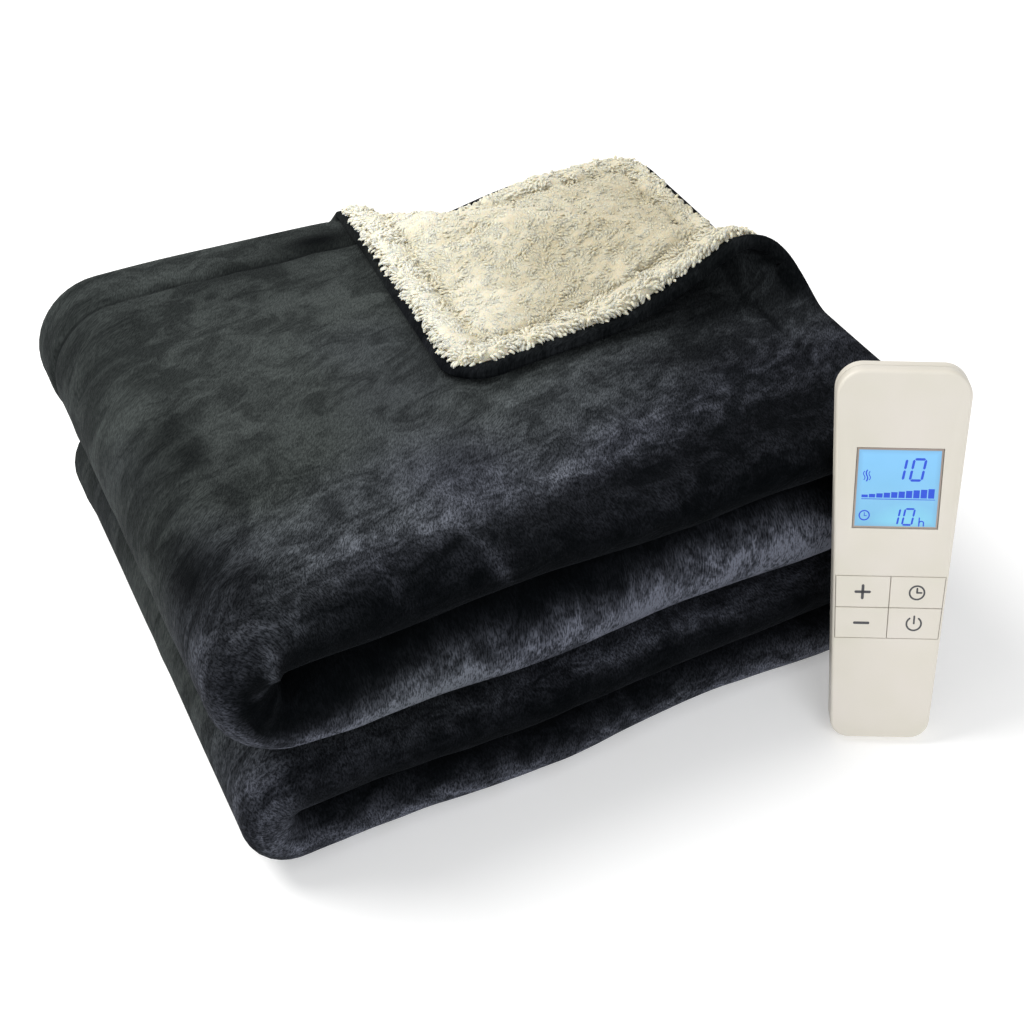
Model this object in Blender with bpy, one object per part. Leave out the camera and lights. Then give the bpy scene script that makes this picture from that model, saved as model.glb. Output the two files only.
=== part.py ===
"""A folded electric heated throw with its hand controller leaning on it. Metres, +Z up.

The throw is one rectangular cut of two panels sewn at the rim: a napped flannel
outside and a sherpa inside. It is folded in four across its width, which gives each
run of the stack one round front lip, and the folded band is then laid in four runs,
back and forth, with turns at the left, the right and the left. The free corner of
the top layer is turned down and shows the sherpa.

A point of the flat cut has two stations: `along` runs down the length, from the free
end at the top right, and `across` runs over the width, from the top layer's hem.
"""

import math
from collections import namedtuple

import bpy
import numpy as np
from mathutils import Matrix, Vector
from mathutils.bvhtree import BVHTree
from mathutils.geometry import delaunay_2d_cdt

# ---------------------------------------------------------------- the throw
STACK_LENGTH = 0.400  # X, about as the runs reach from the upper left turn to the right
STACK_DEPTH = 0.335  # Y, from the upper front lips to the back hems

FLANNEL_THICKNESS = 0.0020
SHERPA_THICKNESS = 0.0036
PANEL_GAP = 0.00034  # the two panels lie this far apart, either side of their shared surface
SHERPA_PITCH = 0.0105  # between two layers whose sherpa sides face each other
FLANNEL_PITCH = 0.0068  # between two layers whose flannel sides face each other
INNER_LEVEL = FLANNEL_PITCH / 2
OUTER_LEVEL = INNER_LEVEL + SHERPA_PITCH
FLANNEL_FACE = PANEL_GAP / 2 + FLANNEL_THICKNESS  # from the shared surface to the outer nap
SHERPA_FACE = PANEL_GAP / 2 + SHERPA_THICKNESS

RUN_GAP = 0.0015  # between two runs of the stack
HEM_WIDTH = 0.0065  # the flannel wraps the rim by this much, and the sherpa ends there
HEM_TURN = 0.0028  # how far the wrapped hem reaches to the sherpa side
CUT_CORNER_RADIUS = 0.026

# One row for each run of the stack, from the top. `loft` is how much its layers stand
# apart compared with the tightest packing, `front` and `back` are the Y of its front lip
# and of its hems, and `right` is the X of its right side.
Run = namedtuple("Run", "loft front back right")
RUNS = (
    Run(loft=1.06, front=0.0000, back=STACK_DEPTH, right=0.4040),
    Run(loft=1.84, front=0.0010, back=0.3310, right=0.3970),
    Run(loft=0.87, front=-0.0045, back=0.3300, right=0.3970),
    Run(loft=1.09, front=-0.0080, back=0.3320, right=0.3930),
)
# One row for each turn between two runs. `reach` is the X of its outermost nap.
Turn = namedtuple("Turn", "loft reach side")
TURNS = (
    Turn(loft=1.10, reach=0.0000, side=-1),
    Turn(loft=1.08, reach=0.3970, side=+1),
    Turn(loft=0.84, reach=0.0037, side=-1),
)
PACKING_EASE = 0.045  # a run's packing eases into its turn's over this length
BACK_CREASE_INSET = 0.002  # the back creases lie this far inside the hems
FLAT_LOFT = 1.2  # the loft at which the flat cut's width is reckoned

# The turned-down corner: its fold runs from the back edge to the right end.
FOLD_BACK_X = 0.185
FOLD_RIGHT_Y = 0.106
FOLD_RADIUS_BACK = 0.0032
FOLD_RADIUS_RIGHT = 0.0205
FLAP_LEVEL = 0.0062  # the resting flap's height over the top layer, middle to middle
FLAP_STRETCH = 1.24  # the knit gives by this much where it is pulled over the fold
FLAP_SLOPE_RUN = 0.060  # the flap comes down from its ridge over about this distance
FLAP_SETTLE = 0.003  # how softly it meets the layer under it

# How the stack has settled, on top of its regular folds
SETTLE_FLOOR = 0.006  # below this the cloth lies flat on the floor
SETTLE_FULL = 0.080  # above this it has its whole unevenness
TOP_SWELL = 0.0070
TOP_WAVE = 0.0018
TOP_WAVE_TURNS = (21.0, 17.0)  # radians for each metre of X and of Y
TOP_WAVE_STARTS = (0.6, 0.9)
BACK_LIFT = -0.0010
BACK_LIFT_FROM = 0.20
BACK_LIFT_RUN = 0.12
LEFT_SKEW = 0.0110
FRONT_WAVE_DEPTH = 0.060  # how far back from the lips their unevenness reaches
# The lips' unevenness, as waves with radians for each metre of X and of Z
Wave = namedtuple("Wave", "height per_x per_z start")
FRONT_WAVES = (
    Wave(height=0.0030, per_x=19.0, per_z=30.0, start=1.1),
    Wave(height=0.0012, per_x=47.0, per_z=-50.0, start=0.0),
)
CREASE_RISE = 0.0080  # the uppermost front crease rises by this much towards the right
CREASE_HEIGHT = 0.120
CREASE_REACH = 0.030  # how far up and down that rise is felt
DIP_DEPTH = 0.0060  # and the crease under it dips by this much in its middle
DIP_HEIGHT, DIP_REACH = 0.066, 0.028
DIP_X, DIP_SPAN = 0.200, 0.080
SAG_DEPTH = 0.0080  # the back sags by this much right of the turned corner's fold
SAG_X, SAG_REACH = 0.250, 0.045
SAG_FROM, SAG_RUN = 0.250, 0.080
SAG_LOW, SAG_TALL = 0.060, 0.065  # only the upper runs sag
FOOT_REACH = 0.030  # the lowest lip wanders up to about this height
FOOT_SLANT = 0.018  # it steps back by this share of X
FOOT_WAVE = Wave(height=0.0030, per_x=33.0, per_z=0.0, start=-0.9)

# How finely the cut is divided
RUN_STEPS = 5
TURN_STEPS = 6
LAYER_STEPS = 4
OUTER_CREASE_STEPS = 8
BACK_CREASE_STEPS = 4
INNER_CREASE_STEPS = 4
CORNER_STEPS = 4
BEND_STEPS = 6
FOLD_STATION = 0.024
ROWS_PAST = 2  # the bend's rows are tried this far past the fold's ends
FOLD_MARGIN = 0.1  # the corner's fold is reckoned this share of its length past its ends
FOLD_SCAN_STEPS = 1200  # along the fold, in the search for where its lines cross the rim
BEND_CLEAR_BEFORE = 0.009  # other stations stay this far from the bend, on its flat side
BEND_CLEAR_AFTER = 0.007  # and on the flap's side
ROW_CLEAR = 0.003  # the bend's rows end this far inside the hem
GRID_CLEAR = 0.004  # the other stations begin this far inside it
CORNER_CLEAR = 0.002  # a rim station lies this far from a round corner

# ---------------------------------------------------------- the hand controller
HANDSET_LENGTH = 0.210
HANDSET_TOP_WIDTH = 0.0697
HANDSET_FOOT_WIDTH = 0.0531
HANDSET_THICKNESS = 0.0175
HANDSET_TOP_RADIUS = 0.0140
HANDSET_FOOT_RADIUS = 0.0105
PARTING_HEIGHT = 0.0090  # of the joint between the two shells, over the back
FACE_BEVEL = 0.0018
BACK_BEVEL = 0.0030
CLEARANCE = 0.0003
BEVEL_SHOULDER = 0.3  # a rounded edge's middle point, as a share of its bevel
CUTTER_PAST = 0.002  # how far a pocket's cutter stands out of the face

HANDSET_FACING = math.radians(-30)  # turned from -Y towards -X
HANDSET_LEAN = math.radians(17)
HANDSET_FOOT = (0.351, -0.045)  # its foot's middle, before it slides back to lean
HANDSET_APPROACH = 0.080  # it is slid back from this far in front of that
TOUCH_SPACING = 0.0015
TOUCH_PRECISION = 0.00002
CORNER_ARC_STEPS = 5

SCREEN_WIDTH = 0.0448
SCREEN_HEIGHT = 0.0448
SCREEN_FROM_TOP = 0.0635  # to its middle
SCREEN_THICKNESS = 0.0012
SCREEN_SINK = 0.0004

KEY_ROWS_FROM_TOP = (0.1129, 0.1311, 0.1492)  # the lines above, between and below the keys
KEY_SIDE_WALL = 0.0014
KEY_THICKNESS = 0.0022
KEY_FLOOR_GAP = 0.0012
KEY_PROUD = 0.0002
KEY_BEVEL = 0.0003

# The plan point of the stack that stands over the part's origin
ORIGIN = (0.2034, 0.1286)


# ------------------------------------------------------------------ small helpers
def smoothstep(x):
    x = np.clip(x, 0.0, 1.0)
    return x * x * (3 - 2 * x)


def clear_scene():
    for obj in list(bpy.data.objects):
        bpy.data.objects.remove(obj, do_unlink=True)


def material(name, colour, roughness, metallic=0.0):
    made = bpy.data.materials.new(name)
    made.use_nodes = True
    shader = made.node_tree.nodes["Principled BSDF"]
    shader.inputs["Base Color"].default_value = (*colour, 1.0)
    shader.inputs["Roughness"].default_value = roughness
    shader.inputs["Metallic"].default_value = metallic
    made.diffuse_color = (*colour, 1.0)
    return made


def add_object(name, vertices, faces, finish):
    mesh = bpy.data.meshes.new(name)
    mesh.from_pydata([tuple(v) for v in vertices], [], [tuple(f) for f in faces])
    mesh.update()
    mesh.materials.append(finish)
    obj = bpy.data.objects.new(name, mesh)
    bpy.context.collection.objects.link(obj)
    return obj


# -------------------------------------------------------- the folded cloth's path
# A leg of a folded path is a straight or a half-round bend. A straight runs from `start`
# to `end`, and a bend stands at `start` and bulges to `side`. `leaves` and `reaches` are
# its levels. `faces` is +1 where the band's outside starts the leg facing up.
Leg = namedtuple("Leg", "start end leaves reaches side length faces")


def straight(start, end, level, faces=1):
    return Leg(start, end, level, level, 0, abs(end - start), faces)


def bend(at, leaves, reaches, side, faces=1):
    return Leg(at, at, leaves, reaches, side, math.pi * abs(leaves - reaches) / 2, faces)


def half_thickness(loft):
    """Half of a run's thickness, from the middle of its section to the outer nap."""
    return OUTER_LEVEL * loft + FLANNEL_FACE


def run_heights():
    """The height of the middle of each run, from the top run down."""
    heights = []
    level = 0.0
    for run in reversed(RUNS):
        level += half_thickness(run.loft)
        heights.append(level)
        level += half_thickness(run.loft) + RUN_GAP
    return heights[::-1]


def stack_legs():
    """The band's path in X and Z: run, turn, run, turn, run, turn, run."""
    heights = run_heights()
    legs = []
    at = RUNS[0].right
    for index, turn in enumerate(TURNS):
        radius = (heights[index] - heights[index + 1]) / 2
        centre = turn.reach - turn.side * (radius + half_thickness(turn.loft))
        faces = (-1) ** index
        legs.append(straight(at, centre, heights[index], faces))
        legs.append(bend(centre, heights[index], heights[index + 1], turn.side, faces))
        at = centre
    legs.append(straight(at, RUNS[-1].right, heights[-1], (-1) ** len(TURNS)))
    return legs


def layer_legs(loft, front, back):
    """The section's path in Y and level: layer, front crease, layer, back crease,
    layer, front crease, layer. The band's layers are named here from its outside."""
    fore = front + half_thickness(loft)
    rear = back - BACK_CREASE_INSET - SHERPA_PITCH / 2 * loft - FLANNEL_FACE
    outer = OUTER_LEVEL * loft
    inner = INNER_LEVEL * loft
    return [
        straight(back, fore, outer),
        bend(fore, outer, -outer, -1),
        straight(fore, rear, -outer),
        bend(rear, -outer, -inner, +1),
        straight(rear, fore, -inner),
        bend(fore, -inner, inner, -1),
        straight(fore, back, inner),
    ]


STACK_LEGS = stack_legs()
FLAT_LAYER_LEGS = layer_legs(FLAT_LOFT, RUNS[0].front, RUNS[0].back)
CUT_LENGTH = sum(leg.length for leg in STACK_LEGS)
CUT_WIDTH = sum(leg.length for leg in FLAT_LAYER_LEGS)


def leg_of(legs, station):
    """For each station: its leg's index, and how far along that leg it is, from 0 to 1."""
    ends = np.cumsum([leg.length for leg in legs])
    index = np.clip(np.searchsorted(ends, station, side="right"), 0, len(legs) - 1)
    lengths = np.array([leg.length for leg in legs])
    share = (station - (ends[index] - lengths[index])) / lengths[index]
    return index, share


def band(along):
    """Where the band's middle is, which way its outside faces, and how it is packed."""
    index, share = leg_of(STACK_LEGS, along)
    x = np.zeros_like(along)
    z = np.zeros_like(along)
    face_x = np.zeros_like(along)
    face_z = np.zeros_like(along)
    for number, leg in enumerate(STACK_LEGS):
        here = index == number
        turned = share[here] * math.pi
        radius = (leg.leaves - leg.reaches) / 2
        if leg.side:
            x[here] = leg.start + leg.side * radius * np.sin(turned)
            z[here] = (leg.leaves + leg.reaches) / 2 + radius * np.cos(turned)
            face_x[here] = leg.faces * leg.side * np.sin(turned)
            face_z[here] = leg.faces * np.cos(turned)
        else:
            x[here] = leg.start + (leg.end - leg.start) * share[here]
            z[here] = leg.leaves
            face_z[here] = leg.faces
    return x, z, face_x, face_z


def packing(along):
    """The loft, the front lip's Y and the hems' Y, eased between the runs and turns."""
    middles = []
    values = []
    start = 0.0
    for number, leg in enumerate(STACK_LEGS):
        if leg.side:
            turn = TURNS[number // 2]
            before = RUNS[number // 2]
            after = RUNS[number // 2 + 1]
            middles.append(start + leg.length / 2)
            values.append((turn.loft, (before.front + after.front) / 2, (before.back + after.back) / 2))
        else:
            run = RUNS[number // 2]
            ease = min(PACKING_EASE, leg.length / 3)
            middles += [start + ease, start + leg.length - ease]
            values += [(run.loft, run.front, run.back)] * 2
        start += leg.length
    eased = []
    for column in zip(*values):
        span = np.clip(np.searchsorted(middles, along) - 1, 0, len(middles) - 2)
        left = np.array(middles)[span]
        right = np.array(middles)[span + 1]
        low = np.array(column)[span]
        high = np.array(column)[span + 1]
        eased.append(low + (high - low) * smoothstep((along - left) / (right - left)))
    return eased


def section(across, loft, front, back):
    """The Y and the level, over the band's middle, of a station across the cut."""
    index, share = leg_of(FLAT_LAYER_LEGS, across)
    y = np.zeros_like(across)
    level = np.zeros_like(across)
    legs = layer_legs(loft, front, back)
    for number, leg in enumerate(legs):
        here = index == number
        start, end, leaves, reaches = (
            np.broadcast_to(value, across.shape)[here]
            for value in (leg.start, leg.end, leg.leaves, leg.reaches)
        )
        if leg.side:
            turned = share[here] * math.pi
            radius = (leaves - reaches) / 2
            y[here] = start + leg.side * np.abs(radius) * np.sin(turned)
            level[here] = (leaves + reaches) / 2 + radius * np.cos(turned)
        else:
            y[here] = start + (end - start) * share[here]
            level[here] = leaves
    return y, level


# ------------------------------------------------------------ the turned-down corner
FOLD_FROM = np.array([FOLD_BACK_X, RUNS[0].back])
FOLD_TO = np.array([RUNS[0].right, FOLD_RIGHT_Y])
FOLD_LENGTH = float(np.linalg.norm(FOLD_TO - FOLD_FROM))
FOLD_WAY = (FOLD_TO - FOLD_FROM) / FOLD_LENGTH
FOLD_OUT = np.array([-FOLD_WAY[1], FOLD_WAY[0]])  # in plan, towards the free corner


def fold_radius(way):
    share = np.clip(way / FOLD_LENGTH, -FOLD_MARGIN, 1 + FOLD_MARGIN)
    return FOLD_RADIUS_BACK + (FOLD_RADIUS_RIGHT - FOLD_RADIUS_BACK) * share


def fold_slope(radius):
    """How steeply the flap comes down from its ridge, as an angle."""
    return np.arctan(np.maximum(2 * radius - FLAP_LEVEL, 0.0) / FLAP_SLOPE_RUN)


def turn_corner(x, y):
    """The plan place and the height over its layer of a point of the free corner."""
    way = (x - FOLD_FROM[0]) * FOLD_WAY[0] + (y - FOLD_FROM[1]) * FOLD_WAY[1]
    out = (x - FOLD_FROM[0]) * FOLD_OUT[0] + (y - FOLD_FROM[1]) * FOLD_OUT[1]
    radius = fold_radius(way)
    slope = fold_slope(radius)
    reach = np.maximum(out, 0.0) * FLAP_STRETCH
    bent = np.minimum(reach, radius * (math.pi + slope))
    turned = bent / radius
    spare = reach - bent
    plan = np.where(out > 0, radius * np.sin(turned) - spare * np.cos(slope), out)
    fall = radius * (1 - np.cos(turned)) - spare * np.sin(slope) - FLAP_LEVEL
    settled = FLAP_LEVEL + (fall + np.sqrt(fall**2 + FLAP_SETTLE**2)) / 2
    rise = radius * (1 - np.cos(turned))
    over = smoothstep(turned / math.pi * 2 - 1)
    height = rise + (settled - rise) * over
    moved_x = FOLD_FROM[0] + way * FOLD_WAY[0] + plan * FOLD_OUT[0]
    moved_y = FOLD_FROM[1] + way * FOLD_WAY[1] + plan * FOLD_OUT[1]
    return moved_x, moved_y, height


def settle(points):
    """The whole stack's unevenness, as one smooth movement of space."""
    x, y, z = points.T
    share = smoothstep((z - SETTLE_FLOOR) / (SETTLE_FULL - SETTLE_FLOOR))
    middle = np.sin(math.pi * np.clip(x / STACK_LENGTH, 0, 1)) * np.sin(
        math.pi * np.clip(y / STACK_DEPTH, 0, 1)
    )
    lift = TOP_SWELL * middle + BACK_LIFT * smoothstep((y - BACK_LIFT_FROM) / BACK_LIFT_RUN)
    waves = np.sin(x * TOP_WAVE_TURNS[0] + TOP_WAVE_STARTS[0])
    waves *= np.cos(y * TOP_WAVE_TURNS[1] + TOP_WAVE_STARTS[1])
    lift += TOP_WAVE * waves
    near_front = np.exp(-np.clip(y, 0, 1) / FRONT_WAVE_DEPTH)
    push = sum(w.height * np.sin(x * w.per_x + z * w.per_z + w.start) for w in FRONT_WAVES) * near_front
    near_crease = near_front * np.exp(-(((z - CREASE_HEIGHT) / CREASE_REACH) ** 2))
    lift += CREASE_RISE * smoothstep(x / STACK_LENGTH) * near_crease
    dip = near_front * np.exp(-(((z - DIP_HEIGHT) / DIP_REACH) ** 2))
    lift -= DIP_DEPTH * np.exp(-(((x - DIP_X) / DIP_SPAN) ** 2)) * dip
    sag = np.exp(-(((x - SAG_X) / SAG_REACH) ** 2)) * smoothstep((y - SAG_FROM) / SAG_RUN)
    lift -= SAG_DEPTH * sag * smoothstep((z - SAG_LOW) / SAG_TALL)
    step = FOOT_SLANT * x + FOOT_WAVE.height * np.sin(x * FOOT_WAVE.per_x + FOOT_WAVE.start)
    step *= near_front * np.exp(-((z / FOOT_REACH) ** 2))
    skew = LEFT_SKEW * np.clip(y / STACK_DEPTH, 0, 1.2) * np.clip(1 - x / STACK_LENGTH, 0, 1)
    return np.column_stack([x + skew, y + share * push + step, z + share * lift])


def folded(along, across):
    """The shared surface of the two panels, folded: one point for each pair of stations."""
    x, z, face_x, face_z = band(along)
    loft, front, back = packing(along)
    y, level = section(across, loft, front, back)
    points = np.column_stack([x + level * face_x, y, z + level * face_z])
    corner = (along < STACK_LEGS[0].length) & (across < FLAT_LAYER_LEGS[0].length)
    moved_x, moved_y, height = turn_corner(points[corner, 0], points[corner, 1])
    points[corner] = np.column_stack([moved_x, moved_y, points[corner, 2] + height])
    return settle(points)


# ------------------------------------------------------------------- the flat cut
def stations(legs, steps):
    """Dividing stations down a path, with each leg cut into its own number of steps."""
    found = [0.0]
    start = 0.0
    for leg, count in zip(legs, steps):
        found += [start + leg.length * step / count for step in range(1, count + 1)]
        start += leg.length
    return found


def rim(inset, alongs, acrosses):
    """The cut's outline moved in by `inset`, as corners in order, with round corners."""
    radius = CUT_CORNER_RADIUS - inset
    low = inset + radius
    right = CUT_LENGTH - inset - radius
    top = CUT_WIDTH - inset - radius
    alongs = [a for a in alongs if low + CORNER_CLEAR < a < right - CORNER_CLEAR]
    acrosses = [a for a in acrosses if low + CORNER_CLEAR < a < top - CORNER_CLEAR]
    outline = []

    def arc(centre, start):
        for step in range(CORNER_STEPS + 1):
            angle = start + math.pi / 2 * step / CORNER_STEPS
            outline.append((centre[0] + radius * math.cos(angle), centre[1] + radius * math.sin(angle)))

    arc((low, low), math.pi)
    outline.extend((a, inset) for a in alongs)
    arc((right, low), -math.pi / 2)
    outline.extend((CUT_LENGTH - inset, a) for a in acrosses)
    arc((right, top), 0.0)
    outline.extend((a, CUT_WIDTH - inset) for a in reversed(alongs))
    arc((low, top), math.pi / 2)
    outline.extend((inset, a) for a in reversed(acrosses))
    return outline


def top_layer_station(x, y):
    """The stations of a plan point of the top layer, before its corner is turned."""
    fore = RUNS[0].front + half_thickness(RUNS[0].loft)
    share = (RUNS[0].back - y) / (RUNS[0].back - fore)
    return RUNS[0].right - x, share * FLAT_LAYER_LEGS[0].length


def inside(point, inset):
    """Whether a point lies within the cut's outline moved in by `inset`."""
    radius = max(CUT_CORNER_RADIUS - inset, 0.0)
    dx = max(inset + radius - point[0], point[0] - (CUT_LENGTH - inset - radius), 0.0)
    dy = max(inset + radius - point[1], point[1] - (CUT_WIDTH - inset - radius), 0.0)
    return math.hypot(dx, dy) < radius


def fold_lines():
    """Stations in rows along the corner's bend, so that it is divided square to its fold."""
    points = []
    count = round(FOLD_LENGTH / FOLD_STATION)
    for step in range(-ROWS_PAST, count + ROWS_PAST + 1):
        way = FOLD_STATION * step
        radius = float(fold_radius(way))
        whole = radius * (math.pi + float(fold_slope(radius)))
        for line in range(BEND_STEPS + 1):
            out = whole * line / BEND_STEPS / FLAP_STRETCH
            plan = FOLD_FROM + way * FOLD_WAY + out * FOLD_OUT
            station = top_layer_station(plan[0], plan[1])
            if inside(station, HEM_WIDTH + ROW_CLEAR):
                points.append(station)
    return points


def fold_line_ends(inset):
    """Where the bend's lines cross the rim, moved in by `inset`."""
    found = []
    for line in range(BEND_STEPS + 1):
        previous = None
        past = round(FOLD_MARGIN * FOLD_SCAN_STEPS)
        for step in range(-past, FOLD_SCAN_STEPS + past):
            way = FOLD_LENGTH * step / FOLD_SCAN_STEPS
            radius = float(fold_radius(way))
            whole = radius * (math.pi + float(fold_slope(radius)))
            out = whole * line / BEND_STEPS / FLAP_STRETCH
            plan = FOLD_FROM + way * FOLD_WAY + out * FOLD_OUT
            station = top_layer_station(plan[0], plan[1])
            now = inside(station, inset)
            if previous is not None and now != previous:
                if station[0] < station[1]:
                    found.append((inset, station[1]))
                else:
                    found.append((station[0], inset))
            previous = now
    return found


def in_bend(station):
    """Whether a station of the top layer lies in the band that fold_lines divides."""
    if station[0] > STACK_LEGS[0].length or station[1] > FLAT_LAYER_LEGS[0].length:
        return False
    fore = RUNS[0].front + half_thickness(RUNS[0].loft)
    plan = np.array(
        [
            RUNS[0].right - station[0],
            RUNS[0].back - (RUNS[0].back - fore) * station[1] / FLAT_LAYER_LEGS[0].length,
        ]
    )
    way = float((plan - FOLD_FROM) @ FOLD_WAY)
    out = float((plan - FOLD_FROM) @ FOLD_OUT)
    radius = float(fold_radius(way))
    whole = radius * (math.pi + float(fold_slope(radius))) / FLAP_STRETCH
    return -BEND_CLEAR_BEFORE < out < whole + BEND_CLEAR_AFTER


def top_layer_stations():
    """The stations halfway between the others, over the top layer of the top run."""
    half_steps = [
        [leg.length * step / (2 * count) for step in range(2 * count)]
        for leg, count in ((STACK_LEGS[0], RUN_STEPS), (FLAT_LAYER_LEGS[0], LAYER_STEPS))
    ]
    return [
        (a, b)
        for i, a in enumerate(half_steps[0])
        for j, b in enumerate(half_steps[1])
        if i % 2 or j % 2
    ]


def flat_cut():
    """The flat cut divided into triangles, as stations and as triples of their indices."""
    run_steps = [RUN_STEPS, TURN_STEPS] * 3 + [RUN_STEPS]
    layer_steps = [
        LAYER_STEPS,
        OUTER_CREASE_STEPS,
        LAYER_STEPS,
        BACK_CREASE_STEPS,
        LAYER_STEPS,
        INNER_CREASE_STEPS,
        LAYER_STEPS,
    ]
    alongs = stations(STACK_LEGS, run_steps)
    acrosses = stations(FLAT_LAYER_LEGS, layer_steps)
    points = []
    edges = []
    for inset in (0.0, HEM_WIDTH):
        outline = rim(inset, alongs, acrosses)
        first = len(points)
        points += outline
        edges += [(first + n, first + (n + 1) % len(outline)) for n in range(len(outline))]
        points += fold_line_ends(inset)
        for a, b in top_layer_stations():
            if b == 0.0 and a > CUT_CORNER_RADIUS and not in_bend((a, b)):
                points.append((a, inset))
            if a == 0.0 and b > CUT_CORNER_RADIUS and not in_bend((a, b)):
                points.append((inset, b))
    margin = HEM_WIDTH + GRID_CLEAR
    grid = [(a, b) for a in alongs for b in acrosses] + top_layer_stations()
    points += [p for p in grid if inside(p, margin) and not in_bend(p)]
    points += fold_lines()
    flat, _, triangles, _, _, _ = delaunay_2d_cdt(
        [Vector(p) for p in points], edges, [], 1, 1e-5, False
    )
    flat = np.array([tuple(p) for p in flat])
    triangles = np.array([tuple(t) for t in triangles])
    a, b, c = (flat[triangles[:, n]] for n in range(3))
    area = (b[:, 0] - a[:, 0]) * (c[:, 1] - a[:, 1]) - (b[:, 1] - a[:, 1]) * (c[:, 0] - a[:, 0])
    triangles[area < 0] = triangles[area < 0][:, ::-1]
    return flat, triangles


def vertex_normals(points, triangles):
    a, b, c = (points[triangles[:, n]] for n in range(3))
    face = np.cross(b - a, c - a)
    normals = np.zeros_like(points)
    for n in range(3):
        np.add.at(normals, triangles[:, n], face)
    return normals / np.linalg.norm(normals, axis=1)[:, None]


def walls(triangles, count):
    """The wall faces that close a sheet whose second side's vertices follow the first."""
    directed = {}
    for a, b, c in triangles:
        for edge in ((a, b), (b, c), (c, a)):
            directed[edge] = True
    found = []
    for a, b in directed:
        if (b, a) not in directed:
            found += [(b, a, a + count), (b, a + count, b + count)]
    return found


def panel(name, points, normals, triangles, outer, inner, finish):
    """A closed sheet between two offsets from the shared surface, outer to inner."""
    used, renumbered = np.unique(triangles, return_inverse=True)
    triangles = renumbered.reshape(-1, 3)
    outside = points[used] + normals[used] * outer[used][:, None]
    inside_face = points[used] + normals[used] * inner[used][:, None]
    count = len(used)
    faces = [tuple(t) for t in triangles]
    faces += [tuple(t[::-1] + count) for t in triangles]
    faces += walls([tuple(t) for t in triangles], count)
    return add_object(name, np.vstack([outside, inside_face]), faces, finish)


def build_throw():
    flat, triangles = flat_cut()
    points = folded(flat[:, 0], flat[:, 1])
    normals = vertex_normals(points, triangles)
    points[:, :2] -= ORIGIN
    on_rim = np.array([not inside(p, HEM_WIDTH / 2) for p in flat])
    everywhere = np.ones(len(flat))
    flannel = panel(
        "flannel_panel",
        points,
        normals,
        triangles,
        everywhere * FLANNEL_FACE,
        np.where(on_rim, -HEM_TURN, PANEL_GAP / 2),
        material("napped flannel", (0.012, 0.014, 0.018), 0.85),
    )
    panel(
        "sherpa_panel",
        points,
        normals,
        triangles[~on_rim[triangles].any(axis=1)],
        everywhere * -PANEL_GAP / 2,
        everywhere * -SHERPA_FACE,
        material("sherpa", (0.80, 0.74, 0.60), 0.95),
    )
    return flannel


# ------------------------------------------------------------- the hand controller
# Its own frame: X to the viewer's right, Y up its length from the foot, Z out of its face
# from the back.
def half_width(y):
    share = y / HANDSET_LENGTH
    return (HANDSET_FOOT_WIDTH + (HANDSET_TOP_WIDTH - HANDSET_FOOT_WIDTH) * share) / 2


def moved_in(corners, inset):
    """A convex outline's corners with every side moved in by `inset`."""
    count = len(corners)
    found = []
    for n in range(count):
        before = Vector(corners[n]) - Vector(corners[n - 1])
        after = Vector(corners[(n + 1) % count]) - Vector(corners[n])
        before.normalize()
        after.normalize()
        inward = Vector((-before.y, before.x)) + Vector((-after.y, after.x))
        inward *= inset / (1 + before.dot(after))
        found.append(tuple(Vector(corners[n]) + inward))
    return found


def rounded(corners, radii):
    """The outline with an arc of CORNER_ARC_STEPS in place of each corner."""
    count = len(corners)
    found = []
    for n in range(count):
        corner = Vector(corners[n])
        before = (Vector(corners[n - 1]) - corner).normalized()
        after = (Vector(corners[(n + 1) % count]) - corner).normalized()
        half = before.angle(after) / 2
        middle = corner + (before + after).normalized() * radii[n] / math.sin(half)
        start = corner + before * radii[n] / math.tan(half) - middle
        sweep = math.pi - 2 * half
        for step in range(CORNER_ARC_STEPS + 1):
            turned = Matrix.Rotation(sweep * step / CORNER_ARC_STEPS, 2) @ start
            found.append(tuple(middle + turned))
    return found


def handset_outline(inset):
    foot = HANDSET_FOOT_WIDTH / 2
    top = HANDSET_TOP_WIDTH / 2
    corners = [(-foot, 0.0), (foot, 0.0), (top, HANDSET_LENGTH), (-top, HANDSET_LENGTH)]
    radii = [HANDSET_FOOT_RADIUS] * 2 + [HANDSET_TOP_RADIUS] * 2
    return rounded(moved_in(corners, inset), [radius - inset for radius in radii])


def stacked(name, rings, finish, parent):
    """A closed solid through outlines of equal length, each an (outline, height)."""
    vertices = [(x, y, height) for outline, height in rings for x, y in outline]
    count = len(rings[0][0])
    faces = [tuple(reversed(range(count)))]
    for ring in range(len(rings) - 1):
        low = ring * count
        for n in range(count):
            after = (n + 1) % count
            faces.append((low + n, low + after, low + count + after, low + count + n))
    faces.append(tuple(range(len(vertices) - count, len(vertices))))
    obj = add_object(name, vertices, faces, finish)
    obj.parent = parent
    return obj


def bevelled(name, corners, low, high, bevel, finish, parent):
    """A flat plate with its upper edge bevelled."""
    rings = [(corners, low), (corners, high - bevel), (moved_in(corners, bevel), high)]
    return stacked(name, rings, finish, parent)


def cut(target, name, corners, floor, parent):
    """Cuts a pocket into a shell's face, down to `floor`."""
    rings = [(corners, floor), (corners, HANDSET_THICKNESS + CUTTER_PAST)]
    cutter = stacked(name, rings, None, parent)
    cutter.hide_render = True
    cutter.display_type = "WIRE"
    boolean = target.modifiers.new(name, "BOOLEAN")
    boolean.operation = "DIFFERENCE"
    boolean.object = cutter


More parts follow.
